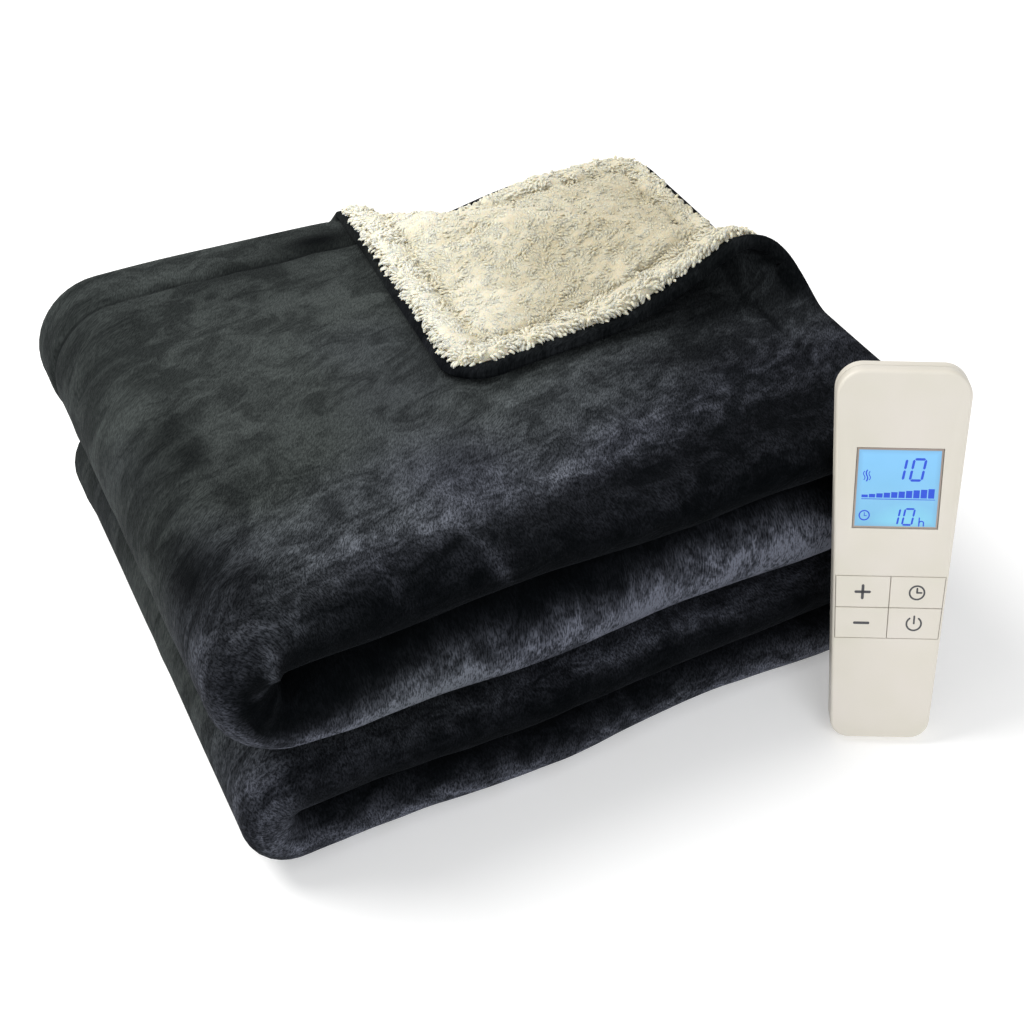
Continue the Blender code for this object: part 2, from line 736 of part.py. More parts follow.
def key_cells():
    """The four keys' cells: name, and corners in order from the lower left."""
    lines = [HANDSET_LENGTH - row for row in KEY_ROWS_FROM_TOP]
    cells = []
    for row, names in enumerate((("warmer", "timer"), ("cooler", "power"))):
        upper = lines[row]
        lower = lines[row + 1]
        wide = half_width(upper) - KEY_SIDE_WALL
        narrow = half_width(lower) - KEY_SIDE_WALL
        left = [(-narrow, lower), (0.0, lower), (0.0, upper), (-wide, upper)]
        right = [(0.0, lower), (narrow, lower), (wide, upper), (0.0, upper)]
        cells += [(names[0], left), (names[1], right)]
    return cells


def shell_points():
    """Points over the two shells' outsides, closely spaced along their long sides."""
    found = []
    for inset, height in BACK_RINGS + FRONT_RINGS:
        outline = [Vector(point) for point in handset_outline(inset)]
        for n, point in enumerate(outline):
            before = outline[n - 1]
            count = max(1, round((point - before).length / TOUCH_SPACING))
            for step in range(count):
                x, y = before.lerp(point, step / count)
                found.append(Vector((x, y, height)))
    return found


def handset_stand(flannel):
    """The handset's frame: it stands on its foot and leans on the nearest of the cloth."""
    right = Vector((math.cos(HANDSET_FACING), math.sin(HANDSET_FACING), 0.0))
    ahead = Vector((math.sin(HANDSET_FACING), -math.cos(HANDSET_FACING), 0.0))
    upward = Vector((0, 0, math.cos(HANDSET_LEAN))) - ahead * math.sin(HANDSET_LEAN)
    outward = ahead * math.cos(HANDSET_LEAN) + Vector((0, 0, math.sin(HANDSET_LEAN)))
    turn = Matrix((right, upward, outward)).transposed().to_4x4()
    points = [turn @ point for point in shell_points()]
    place = Vector((HANDSET_FOOT[0] - ORIGIN[0], HANDSET_FOOT[1] - ORIGIN[1], 0.0))
    place.z = -min(point.z for point in points)
    cloth = BVHTree.FromPolygons(
        [vertex.co for vertex in flannel.data.vertices],
        [tuple(face.vertices) for face in flannel.data.polygons],
    )
    # It slides straight back from well in front, by no more than its distance each time.
    place += ahead * HANDSET_APPROACH
    spare = HANDSET_APPROACH
    while spare > TOUCH_PRECISION:
        distance = min(cloth.find_nearest(point + place)[3] for point in points)
        spare = distance - CLEARANCE
        place -= ahead * spare
    return Matrix.Translation(place) @ turn


# Outlines of the two shells, as how far each is moved in, and its height over the back
BACK_RINGS = (
    (BACK_BEVEL, 0.0),
    (BACK_BEVEL * BEVEL_SHOULDER, BACK_BEVEL * BEVEL_SHOULDER),
    (0.0, BACK_BEVEL),
    (0.0, PARTING_HEIGHT),
)
FRONT_RINGS = (
    (0.0, PARTING_HEIGHT + CLEARANCE),
    (0.0, HANDSET_THICKNESS - FACE_BEVEL),
    (FACE_BEVEL * BEVEL_SHOULDER, HANDSET_THICKNESS - FACE_BEVEL * BEVEL_SHOULDER),
    (FACE_BEVEL, HANDSET_THICKNESS),
)


def build_handset(flannel):
    frame = bpy.data.objects.new("handset", None)
    bpy.context.collection.objects.link(frame)
    frame.matrix_world = handset_stand(flannel)
    case = material("warm white plastic", (0.80, 0.77, 0.74), 0.35)
    stacked(
        "controller_back_shell",
        [(handset_outline(inset), height) for inset, height in BACK_RINGS],
        case,
        frame,
    )
    front = stacked(
        "controller_front_shell",
        [(handset_outline(inset), height) for inset, height in FRONT_RINGS],
        case,
        frame,
    )
    build_screen(front, frame)
    build_keys(front, frame)


def build_screen(front, frame):
    middle = HANDSET_LENGTH - SCREEN_FROM_TOP
    side = SCREEN_WIDTH / 2
    end = SCREEN_HEIGHT / 2
    corners = [(-side, middle - end), (side, middle - end), (side, middle + end), (-side, middle + end)]
    top = HANDSET_THICKNESS - SCREEN_SINK
    low = top - SCREEN_THICKNESS
    cut(front, "screen_pocket", corners, low - CLEARANCE, frame)
    glass = material("screen window", (0.35, 0.68, 0.90), 0.12)
    bevelled("screen_window", moved_in(corners, CLEARANCE), low, top, KEY_BEVEL, glass, frame)


def build_keys(front, frame):
    lower, upper = (HANDSET_LENGTH - KEY_ROWS_FROM_TOP[n] for n in (-1, 0))
    narrow = half_width(lower) - KEY_SIDE_WALL
    wide = half_width(upper) - KEY_SIDE_WALL
    field = [(-narrow, lower), (narrow, lower), (wide, upper), (-wide, upper)]
    top = HANDSET_THICKNESS + KEY_PROUD
    low = top - KEY_THICKNESS
    cut(front, "key_pocket", moved_in(field, -CLEARANCE / 2), low - KEY_FLOOR_GAP, frame)
    for name, cell in key_cells():
        corners = moved_in(cell, CLEARANCE / 2)
        middle = sum((Vector(c) for c in corners), Vector((0, 0))) / len(corners)
        around = [(x - middle.x, y - middle.y) for x, y in corners]
        finish = material(f"{name} key plastic", (0.80, 0.77, 0.74), 0.40)
        key = bevelled(f"key_{name}", around, low, top, KEY_BEVEL, finish, frame)
        key.location = (middle.x, middle.y, 0.0)


def main():
    clear_scene()
    flannel = build_throw()
    build_handset(flannel)


main()
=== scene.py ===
"""Looks of a folded electric heated throw and its hand controller, built around their frame.

The throw's two cloths follow the frame's own folds on a much finer cut: napped flannel
outside with a rolled hem and a sewn line, and sherpa inside, with its curly tufts where
it shows. The controller gets moulded shells, a lit screen and marked keys.

A point of the flat cut has two stations in metres: `along` runs down the throw's length
from the free end at the top right, and `across` runs over its width from the top hem.
"""

import math
from collections import namedtuple

import bpy
import numpy as np
from bpy.props import FloatProperty, FloatVectorProperty, IntProperty, PointerProperty
from mathutils import Matrix, Vector
from mathutils.geometry import delaunay_2d_cdt


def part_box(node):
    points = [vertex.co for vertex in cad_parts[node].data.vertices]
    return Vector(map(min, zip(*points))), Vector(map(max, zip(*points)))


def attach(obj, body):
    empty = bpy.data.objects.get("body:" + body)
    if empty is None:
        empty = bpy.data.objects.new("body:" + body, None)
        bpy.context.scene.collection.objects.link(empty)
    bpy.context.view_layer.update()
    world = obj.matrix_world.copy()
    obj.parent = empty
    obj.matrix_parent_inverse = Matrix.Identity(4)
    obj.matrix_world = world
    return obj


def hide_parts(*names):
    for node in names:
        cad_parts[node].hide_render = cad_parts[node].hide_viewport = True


bl_info = {
    "name": "Folded heated throw",
    "version": (1, 0, 0),
    "blender": (4, 5, 0),
    "location": "3D View > Sidebar > Throw",
    "description": "Cloths, pile, hems, controller and studio of a folded heated throw",
    "category": "Object",
}

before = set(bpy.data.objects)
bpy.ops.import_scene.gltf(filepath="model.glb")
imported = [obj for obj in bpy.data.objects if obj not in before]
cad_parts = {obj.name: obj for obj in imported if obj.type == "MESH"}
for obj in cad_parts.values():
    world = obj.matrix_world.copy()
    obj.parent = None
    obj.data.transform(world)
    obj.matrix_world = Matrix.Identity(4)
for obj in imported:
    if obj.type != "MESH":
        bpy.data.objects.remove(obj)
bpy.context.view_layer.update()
BODY = "throw"

# ------------------------------------------------------ the folds, as the frame has them
STACK_LENGTH = 0.400
STACK_DEPTH = 0.335
FLANNEL_THICKNESS = 0.0020
SHERPA_THICKNESS = 0.0036
PANEL_GAP = 0.00034
SHERPA_PITCH = 0.0105
FLANNEL_PITCH = 0.0068
INNER_LEVEL = FLANNEL_PITCH / 2
OUTER_LEVEL = INNER_LEVEL + SHERPA_PITCH
FLANNEL_FACE = PANEL_GAP / 2 + FLANNEL_THICKNESS
RUN_GAP = 0.0015
HEM_WIDTH = 0.0065
HEM_TURN = 0.0028
CUT_CORNER_RADIUS = 0.026

Run = namedtuple("Run", "loft front back right")
RUNS = (
    Run(loft=1.06, front=0.0000, back=STACK_DEPTH, right=0.4040),
    Run(loft=1.84, front=0.0010, back=0.3310, right=0.3970),
    Run(loft=0.87, front=-0.0045, back=0.3300, right=0.3970),
    Run(loft=1.09, front=-0.0080, back=0.3320, right=0.3930),
)
Turn = namedtuple("Turn", "loft reach side")
TURNS = (
    Turn(loft=1.10, reach=0.0000, side=-1),
    Turn(loft=1.08, reach=0.3970, side=+1),
    Turn(loft=0.84, reach=0.0037, side=-1),
)
PACKING_EASE = 0.045
BACK_CREASE_INSET = 0.002
FLAT_LOFT = 1.2

FOLD_BACK_X = 0.185
FOLD_RIGHT_Y = 0.106
FOLD_RADIUS_BACK = 0.0032
FOLD_RADIUS_RIGHT = 0.0205
FLAP_LEVEL = 0.0062
FLAP_STRETCH = 1.24
FLAP_SLOPE_RUN = 0.060
FLAP_SETTLE = 0.003
FOLD_MARGIN = 0.1

SETTLE_FLOOR = 0.006
SETTLE_FULL = 0.080
TOP_SWELL = 0.0070
TOP_WAVE = 0.0018
TOP_WAVE_TURNS = (21.0, 17.0)
TOP_WAVE_STARTS = (0.6, 0.9)
BACK_LIFT = -0.0010
BACK_LIFT_FROM = 0.20
BACK_LIFT_RUN = 0.12
LEFT_SKEW, SKEW_END = 0.0110, 1.2
FRONT_WAVE_DEPTH = 0.060
Wave = namedtuple("Wave", "height per_x per_z start")
FRONT_WAVES = (
    Wave(height=0.0030, per_x=19.0, per_z=30.0, start=1.1),
    Wave(height=0.0012, per_x=47.0, per_z=-50.0, start=0.0),
)
CREASE_RISE = 0.0080
CREASE_HEIGHT = 0.120
CREASE_REACH = 0.030
DIP_DEPTH = 0.0060
DIP_HEIGHT, DIP_REACH = 0.066, 0.028
DIP_X, DIP_SPAN = 0.200, 0.080
SAG_DEPTH = 0.0080
SAG_X, SAG_REACH = 0.250, 0.045
SAG_FROM, SAG_RUN = 0.250, 0.080
SAG_LOW, SAG_TALL = 0.060, 0.065
FOOT_REACH = 0.030
FOOT_SLANT = 0.018
FOOT_WAVE = Wave(height=0.0030, per_x=33.0, per_z=0.0, start=-0.9)
ORIGIN = np.array([0.2034, 0.1286, 0.0])

# -------------------------------------------------------- the controller, as the frame has it
HANDSET_LENGTH = 0.210
HANDSET_TOP_WIDTH = 0.0697
HANDSET_FOOT_WIDTH = 0.0531
HANDSET_THICKNESS = 0.0175
HANDSET_TOP_RADIUS = 0.0140
HANDSET_FOOT_RADIUS = 0.0105
PARTING_HEIGHT = 0.0090
FACE_BEVEL = 0.0018
BACK_BEVEL = 0.0030
CLEARANCE = 0.0003
HANDSET_FACING = math.radians(-30)
HANDSET_LEAN = math.radians(17)
SCREEN_SIZE = 0.0448
SCREEN_FROM_TOP = 0.0635
SCREEN_THICKNESS = 0.0012
SCREEN_SINK = 0.0004
KEY_ROWS_FROM_TOP = (0.1129, 0.1311, 0.1492)
KEY_SIDE_WALL = 0.0014
KEY_THICKNESS = 0.0022
KEY_FLOOR_GAP = 0.0012
KEY_PROUD = 0.0002
CUTTER_PAST = 0.002
CORNER_STEPS = 12
FRAME_CORNER_STEPS = 5  # the frame's own shells have coarser corners
BEVEL_BREAK = 0.3  # and their back's bevel is broken in two, at this share of its size
EDGE_STEPS = 6  # rings round a shell's rounded edge
RIM_BEVEL = 0.00022  # the moulded softness of the pockets' edges
SOFT_ANGLE = math.radians(50)  # edges sharper than this are softened
SHARP_ANGLE = math.radians(35)  # and those sharper than this are shaded sharp
CASE_ROUGHNESS, KEY_ROUGHNESS = 0.36, 0.40
FIGURE_GLOW = 0.35

# --------------------------------------------------------- the cloths' own finer shapes
Lumps = namedtuple("Lumps", "height size seed")  # one layer of smooth random unevenness

HEM_SEAM = 0.034  # the sewn line of the hem lies this far inside the rim
SEAM_DEPTH, SEAM_WIDTH = 0.0030, 0.0021
SEAM_STRAY = (Lumps(0.0011, 0.020, 5), Lumps(0.0005, 0.007, 6))
SEAM_END = 0.05  # the part of the sewn line that shows is this near the top hem
HEM_BULGE = 0.0013  # the cloth between rim and sewn line is this much fuller
HEM_RISE, HEM_FALL = 0.006, 0.008  # how fast it swells from the rim, and falls to the line
FLAP_HEM = 0.0110  # the turned corner's front hem, over the plain HEM_WIDTH
FLAP_HEM_SWELL = 0.0010  # and how much fuller it is
SWELL_FROM, SWELL_FADE = 0.004, 0.008  # where that swell fades out, inside the rim
FLAP_EASE = 0.010  # how far out of its fold the turned corner's hem takes its full shape
HEM_EASE = 0.030  # how far round the corner the front hem goes over to the plain one
HEM_BACK = (0.65, 0.30)  # where the hem's back face ends, and how softly, in hem widths
FLANNEL_LUMPS = (Lumps(0.0004, 0.016, 3),)
LUMPS_RISE = 0.010
LEAST_CLOTH, LEAST_RISE = 0.0006, 0.002  # the flannel's least thickness, reached from the rim

PILE_START = 0.0050  # the sherpa begins this far inside the rim
PILE_RISE = 0.0030
PILE_LEAST = 0.0003  # its thickness where a hem covers it
PILE_INSETS = (0.0010, 0.0022, 0.0036)
PILE_ROLL = 0.0030  # the bared sherpa stands in a roll along its rim
PILE_RIDGE, PILE_RIDGE_WIDTH = 0.0095, 0.0068  # whose ridge is this far inside the rim
LAYER_ROLL = 0.5  # the share of that roll on the layer under the turned corner
PILE_DRAW = 0.0020  # and is drawn in by the hem's inner seam beside the roll
PILE_GROOVE, PILE_GROOVE_WIDTH = 0.0210, 0.0024
GROOVE_STRAY = (Lumps(0.0012, 0.012, 17),)
PILE_KNOBS = (
    Lumps(0.0006, 0.0036, 11),
    Lumps(0.0009, 0.0075, 12),
    Lumps(0.0009, 0.0190, 13),
    Lumps(0.0010, 0.0360, 14),
)
RELIEF_SPAN = 0.0045  # the relief from the darkest hollow to the palest crown, over which the hollows' painted shade runs
FLAP_START = 0.001  # how far out of the fold the turned corner's tufts start
FLAP_BARED = 0.006  # how far out of the fold the turned corner's sherpa is fully bared
LAYER_MARGIN, LAYER_FADE = 0.012, 0.008  # the layer under it is bared from so far inside the fold
SHADE_FROM, SHADE_SPAN = -0.10, 0.19  # where painted shade darkens the sherpa to tan, rightwards in the picture
RIM_LIGHT_REACH, RIM_LIGHT_SHARE = 0.014, 0.45  # and how much paler it stays along its rim, as painted light on the rolls
RIM_STEP = 0.0005  # the step that finds the way out over the rim

FINE_PILE = 0.0017  # how finely the bared sherpa is cut
FINE_HEM = 0.0013  # and the flannel at its front hem and its sewn line
JUST_BARED = 0.02  # a share over this counts as bared, or as front hem
PAST_HEM, BESIDE_SEAM = 0.003, 0.006  # how far beyond them that cut goes
SEAM_OFF_FOLD = 0.004  # and how near the corner's fold the sewn line's cut ends
RIM_INSETS = (0.0005, 0.0014, 0.0027, 0.0044, 0.0058)
ROWS_CLEAR = 0.0011  # the bend's rows keep this far from the rim's rings
FINE_CLEAR = 0.7  # and the grid this share of the fine step
RIM_CORNER_POINTS = 12
RIM_CORNER_CLEAR = 0.001  # the stations of the rim's sides keep this far from its corners
MERGED = 1e-5  # stations nearer than this become one
LEAST_AREA = 1e-12
BEND_ROWS = 14
BEND_STATION = 0.0030
BEND_CLEAR = (0.003, 0.002)
LIP_ROOT = 0.030  # the layers are as finely cut as their lip for this far from it

# The main creases: soft troughs (depth over 0) and ridges (under 0) of the flannel.
# `along` and `across` are the stations of a crease's middle, and `turned` is its angle from
# the along axis, in degrees. The columns: along, across, turned, length, width, depth.
CREASES = (
    (0.374, 0.081, 5, 0.036, 0.0045, 0.0020),
    (0.354, 0.066, 50, 0.040, 0.0050, 0.0022),
    (0.300, 0.064, 150, 0.110, 0.0040, 0.0009),
    (0.300, 0.113, 170, 0.070, 0.0060, -0.0012),
    (0.200, 0.236, 135, 0.030, 0.0040, -0.0014),
    (0.238, 0.262, 20, 0.016, 0.0040, 0.0012),
    (0.312, 0.298, 100, 0.050, 0.0040, -0.0014),
    (0.320, 0.305, 100, 0.044, 0.0040, 0.0010),
    (0.262, 0.322, 115, 0.040, 0.0034, -0.0016),
    (0.270, 0.325, 110, 0.030, 0.0040, 0.0012),
    (0.204, 0.297, 170, 0.034, 0.0050, -0.0013),
    (0.168, 0.345, 20, 0.020, 0.0040, 0.0012),
    (0.357, 0.343, 30, 0.030, 0.0040, 0.0028),
    (0.372, 0.345, 60, 0.030, 0.0040, -0.0022),
    (0.392, 0.347, 95, 0.032, 0.0038, 0.0030),
    (0.410, 0.348, 110, 0.030, 0.0040, -0.0022),
    (0.428, 0.350, 130, 0.026, 0.0036, 0.0026),
    (0.381, 0.262, 85, 0.070, 0.0060, 0.0012),
)
CREASE_ENDS = 4.0  # the power that shapes a stroke's ends: blunt on a crease, soft on a brush
BRUSH_ENDS = 2.0


# ------------------------------------------------------------------------ small helpers
def smoothstep(x):
    x = np.clip(x, 0.0, 1.0)
    return x * x * (3 - 2 * x)


def lumps(u, v, size, seed):
    """Smooth noise from -1 to 1 over two coordinates, with lumps of about `size`."""
    table = np.random.default_rng(seed).uniform(-1, 1, (256, 256))
    gu, gv = u / size, v / size
    iu, iv = np.floor(gu).astype(int), np.floor(gv).astype(int)
    fu, fv = smoothstep(gu - iu), smoothstep(gv - iv)

    def at(du, dv):
        return table[(iu + du) % 256, (iv + dv) % 256]

    low = at(0, 0) * (1 - fu) + at(1, 0) * fu
    high = at(0, 1) * (1 - fu) + at(1, 1) * fu
    return low * (1 - fv) + high * fv


def uneven(stations, layers):
    """The sum of layers of lumps over the cut."""
    along, across = stations.T
    return sum(layer.height * lumps(along, across, layer.size, layer.seed) for layer in layers)


def link(obj):
    bpy.context.scene.collection.objects.link(obj)
    return obj


def mesh_object(name, vertices, faces, finish=None):
    mesh = bpy.data.meshes.new(name)
    mesh.from_pydata(np.asarray(vertices).tolist(), [], np.asarray(faces).tolist())
    mesh.update()
    mesh.shade_smooth()
    if finish:
        mesh.materials.append(finish)
    return link(bpy.data.objects.new(name, mesh))


def point_attribute(obj, name, kind, values):
    made = obj.data.attributes.new(name, kind, "POINT")
    field = "vector" if kind == "FLOAT_VECTOR" else "value"
    made.data.foreach_set(field, np.asarray(values, np.float32).ravel())


def add_map(obj, stations):
    """A UV map in metres over the piece, from two numbers for each vertex."""
    loops = np.zeros(len(obj.data.loops), np.int32)
    obj.data.loops.foreach_get("vertex_index", loops)
    layer = obj.data.uv_layers.new(name="cut")
    layer.uv.foreach_set("vector", stations[loops].astype(np.float32).ravel())


# ---------------------------------------------------------------- the folded cloth's path
Leg = namedtuple("Leg", "start end leaves reaches side length faces")


def straight(start, end, level, faces=1):
    return Leg(start, end, level, level, 0, abs(end - start), faces)


def bend(at, leaves, reaches, side, faces=1):
    return Leg(at, at, leaves, reaches, side, math.pi * abs(leaves - reaches) / 2, faces)


def half_thickness(loft):
    return OUTER_LEVEL * loft + FLANNEL_FACE


def run_heights():
    heights = []
    level = 0.0
    for run in reversed(RUNS):
        level += half_thickness(run.loft)
        heights.append(level)
        level += half_thickness(run.loft) + RUN_GAP
    return heights[::-1]


def stack_legs():
    """The band's path in X and Z: run, turn, run, turn, run, turn, run."""
    heights = run_heights()
    legs = []
    at = RUNS[0].right
    for index, turn in enumerate(TURNS):
        radius = (heights[index] - heights[index + 1]) / 2
        centre = turn.reach - turn.side * (radius + half_thickness(turn.loft))
        faces = (-1) ** index
        legs.append(straight(at, centre, heights[index], faces))
        legs.append(bend(centre, heights[index], heights[index + 1], turn.side, faces))
        at = centre
    legs.append(straight(at, RUNS[-1].right, heights[-1], (-1) ** len(TURNS)))
    return legs


def layer_legs(loft, front, back):
    """The section's path in Y and level, from the top hem round its three creases."""
    fore = front + half_thickness(loft)
    rear = back - BACK_CREASE_INSET - SHERPA_PITCH / 2 * loft - FLANNEL_FACE
    outer = OUTER_LEVEL * loft
    inner = INNER_LEVEL * loft
    return [
        straight(back, fore, outer),
        bend(fore, outer, -outer, -1),
        straight(fore, rear, -outer),
        bend(rear, -outer, -inner, +1),
        straight(rear, fore, -inner),
        bend(fore, -inner, inner, -1),
        straight(fore, back, inner),
    ]


STACK_LEGS = stack_legs()
LAYER_LEGS = layer_legs(FLAT_LOFT, RUNS[0].front, RUNS[0].back)
ALONG_ENDS = np.cumsum([leg.length for leg in STACK_LEGS])
ACROSS_ENDS = np.cumsum([leg.length for leg in LAYER_LEGS])
CUT_LENGTH = float(ALONG_ENDS[-1])
CUT_WIDTH = float(ACROSS_ENDS[-1])


def leg_of(legs, station):
    ends = np.cumsum([leg.length for leg in legs])
    index = np.clip(np.searchsorted(ends, station, side="right"), 0, len(legs) - 1)
    lengths = np.array([leg.length for leg in legs])
    return index, (station - (ends[index] - lengths[index])) / lengths[index]


def band(along):
    """Where the band's middle is, and which way its outside faces."""
    index, share = leg_of(STACK_LEGS, along)
    x, z, face_x, face_z = (np.zeros_like(along) for _ in range(4))
    for number, leg in enumerate(STACK_LEGS):
        here = index == number
        turned = share[here] * math.pi
        radius = (leg.leaves - leg.reaches) / 2
        if leg.side:
            x[here] = leg.start + leg.side * radius * np.sin(turned)
            z[here] = (leg.leaves + leg.reaches) / 2 + radius * np.cos(turned)
            face_x[here] = leg.faces * leg.side * np.sin(turned)
            face_z[here] = leg.faces * np.cos(turned)
        else:
            x[here] = leg.start + (leg.end - leg.start) * share[here]
            z[here] = leg.leaves
            face_z[here] = leg.faces
    return x, z, face_x, face_z


def packing(along):
    """The loft, the front lip's Y and the hems' Y, eased between the runs and turns."""
    middles = []
    values = []
    start = 0.0
    for number, leg in enumerate(STACK_LEGS):
        run = RUNS[number // 2]
        if leg.side:
            after = RUNS[number // 2 + 1]
            middles.append(start + leg.length / 2)
            loft = TURNS[number // 2].loft
            values.append((loft, (run.front + after.front) / 2, (run.back + after.back) / 2))
        else:
            ease = min(PACKING_EASE, leg.length / 3)
            middles += [start + ease, start + leg.length - ease]
            values += [(run.loft, run.front, run.back)] * 2
        start += leg.length
    span = np.clip(np.searchsorted(middles, along) - 1, 0, len(middles) - 2)
    left, right = np.array(middles)[span], np.array(middles)[span + 1]
    share = smoothstep((along - left) / (right - left))[:, None]
    table = np.array(values)
    return (table[span] + (table[span + 1] - table[span]) * share).T


def section(across, loft, front, back):
    """The Y and the level, over the band's middle, of a station across the cut."""
    index, share = leg_of(LAYER_LEGS, across)
    y, level = np.zeros_like(across), np.zeros_like(across)
    for number, leg in enumerate(layer_legs(loft, front, back)):
        here = index == number
        start, end, leaves, reaches = (
            np.broadcast_to(value, across.shape)[here]
            for value in (leg.start, leg.end, leg.leaves, leg.reaches)
        )
        if leg.side:
            turned = share[here] * math.pi
            radius = (leaves - reaches) / 2
            y[here] = start + leg.side * np.abs(radius) * np.sin(turned)
            level[here] = (leaves + reaches) / 2 + radius * np.cos(turned)
        else:
            y[here] = start + (end - start) * share[here]
            level[here] = leaves
    return y, level


FOLD_FROM = np.array([FOLD_BACK_X, RUNS[0].back])
FOLD_TO = np.array([RUNS[0].right, FOLD_RIGHT_Y])
FOLD_LENGTH = float(np.linalg.norm(FOLD_TO - FOLD_FROM))
FOLD_WAY = (FOLD_TO - FOLD_FROM) / FOLD_LENGTH
FOLD_OUT = np.array([-FOLD_WAY[1], FOLD_WAY[0]])
TOP_FORE = RUNS[0].front + half_thickness(RUNS[0].loft)  # where the top layer meets its lip
TOP_REACH = RUNS[0].back - TOP_FORE


def fold_radius(way):
    share = np.clip(way / FOLD_LENGTH, -FOLD_MARGIN, 1 + FOLD_MARGIN)
    return FOLD_RADIUS_BACK + (FOLD_RADIUS_RIGHT - FOLD_RADIUS_BACK) * share


def fold_slope(radius):
    return np.arctan(np.maximum(2 * radius - FLAP_LEVEL, 0.0) / FLAP_SLOPE_RUN)


def bend_length(radius):
    """How much of the flat cut goes round the corner's bend."""
    return radius * (math.pi + fold_slope(radius)) / FLAP_STRETCH


def turn_corner(x, y):
    """The plan place and the height over its layer of a point of the free corner."""
    way = (x - FOLD_FROM[0]) * FOLD_WAY[0] + (y - FOLD_FROM[1]) * FOLD_WAY[1]
    out = (x - FOLD_FROM[0]) * FOLD_OUT[0] + (y - FOLD_FROM[1]) * FOLD_OUT[1]
    radius = fold_radius(way)
    slope = fold_slope(radius)
    reach = np.maximum(out, 0.0) * FLAP_STRETCH
    bent = np.minimum(reach, radius * (math.pi + slope))
    turned = bent / radius
    spare = reach - bent
    plan = np.where(out > 0, radius * np.sin(turned) - spare * np.cos(slope), out)
    fall = radius * (1 - np.cos(turned)) - spare * np.sin(slope) - FLAP_LEVEL
    settled = FLAP_LEVEL + (fall + np.sqrt(fall**2 + FLAP_SETTLE**2)) / 2
    rise = radius * (1 - np.cos(turned))
    over = smoothstep(turned / math.pi * 2 - 1)
    height = rise + (settled - rise) * over
    moved_x = FOLD_FROM[0] + way * FOLD_WAY[0] + plan * FOLD_OUT[0]
    moved_y = FOLD_FROM[1] + way * FOLD_WAY[1] + plan * FOLD_OUT[1]
    return moved_x, moved_y, height


def settle(points):
    """The whole stack's unevenness, as one smooth movement of space."""
    x, y, z = points.T
    share = smoothstep((z - SETTLE_FLOOR) / (SETTLE_FULL - SETTLE_FLOOR))
    middle = np.sin(math.pi * np.clip(x / STACK_LENGTH, 0, 1))
    middle *= np.sin(math.pi * np.clip(y / STACK_DEPTH, 0, 1))
    lift = TOP_SWELL * middle + BACK_LIFT * smoothstep((y - BACK_LIFT_FROM) / BACK_LIFT_RUN)
    waves = np.sin(x * TOP_WAVE_TURNS[0] + TOP_WAVE_STARTS[0])
    waves *= np.cos(y * TOP_WAVE_TURNS[1] + TOP_WAVE_STARTS[1])
    lift += TOP_WAVE * waves
    near_front = np.exp(-np.clip(y, 0, 1) / FRONT_WAVE_DEPTH)
    push = near_front * sum(
        wave.height * np.sin(x * wave.per_x + z * wave.per_z + wave.start) for wave in FRONT_WAVES
    )
    near_crease = near_front * np.exp(-(((z - CREASE_HEIGHT) / CREASE_REACH) ** 2))
    lift += CREASE_RISE * smoothstep(x / STACK_LENGTH) * near_crease
    dip = near_front * np.exp(-(((z - DIP_HEIGHT) / DIP_REACH) ** 2))
    lift -= DIP_DEPTH * np.exp(-(((x - DIP_X) / DIP_SPAN) ** 2)) * dip
    sag = np.exp(-(((x - SAG_X) / SAG_REACH) ** 2)) * smoothstep((y - SAG_FROM) / SAG_RUN)
    lift -= SAG_DEPTH * sag * smoothstep((z - SAG_LOW) / SAG_TALL)
    step = FOOT_SLANT * x + FOOT_WAVE.height * np.sin(x * FOOT_WAVE.per_x + FOOT_WAVE.start)
    step *= near_front * np.exp(-((z / FOOT_REACH) ** 2))
    skew = LEFT_SKEW * np.clip(y / STACK_DEPTH, 0, SKEW_END) * np.clip(1 - x / STACK_LENGTH, 0, 1)
    return np.column_stack([x + skew, y + share * push + step, z + share * lift])


def folded(stations):
    """The shared surface of the two cloths, folded, in the frame's own place."""
    along, across = stations.T
    x, z, face_x, face_z = band(along)
    loft, front, back = packing(along)
    y, level = section(across, loft, front, back)
    points = np.column_stack([x + level * face_x, y, z + level * face_z])
    corner = (along < STACK_LEGS[0].length) & (across < LAYER_LEGS[0].length)
    moved_x, moved_y, height = turn_corner(points[corner, 0], points[corner, 1])
    points[corner] = np.column_stack([moved_x, moved_y, points[corner, 2] + height])
    return settle(points) - ORIGIN


# ---------------------------------------------------------------------- the finer flat cut
# How far apart the stations lie in each band of the cut, in millimetres: along by across.
# The columns are the kinds of leg along the throw.
Spacing = namedtuple("Spacing", "top left right rest")
FLANNEL_SPACING = {
    "top layer": Spacing(top=(3.3, 3.3), left=(3.3, 3.6), right=(9, 9), rest=(12, 12)),
    "lip root": Spacing(top=(3.3, 3.3), left=(3.3, 3.3), right=(4.5, 4.5), rest=(4.5, 4.5)),
    "lip": Spacing(top=(3.3, 3.1), left=(3.3, 3.1), right=(4.5, 3.1), rest=(4.5, 3.1)),
    "far layer": Spacing(top=(12, 12), left=(8, 12), right=(3.8, 5), rest=(12, 12)),
    "back crease": Spacing(top=(8, 2.6), left=(5, 2.6), right=(5, 2.6), rest=(10, 2.6)),
    "inner layer": Spacing(top=(12, 12), left=(9, 12), right=(9, 12), rest=(12, 14)),
    "inner crease": Spacing(top=(12, 2.6), left=(8, 2.6), right=(8, 2.6), rest=(14, 2.6)),
    "inmost layer": Spacing(top=(12, 12), left=(9, 12), right=(9, 12), rest=(12, 14)),
}
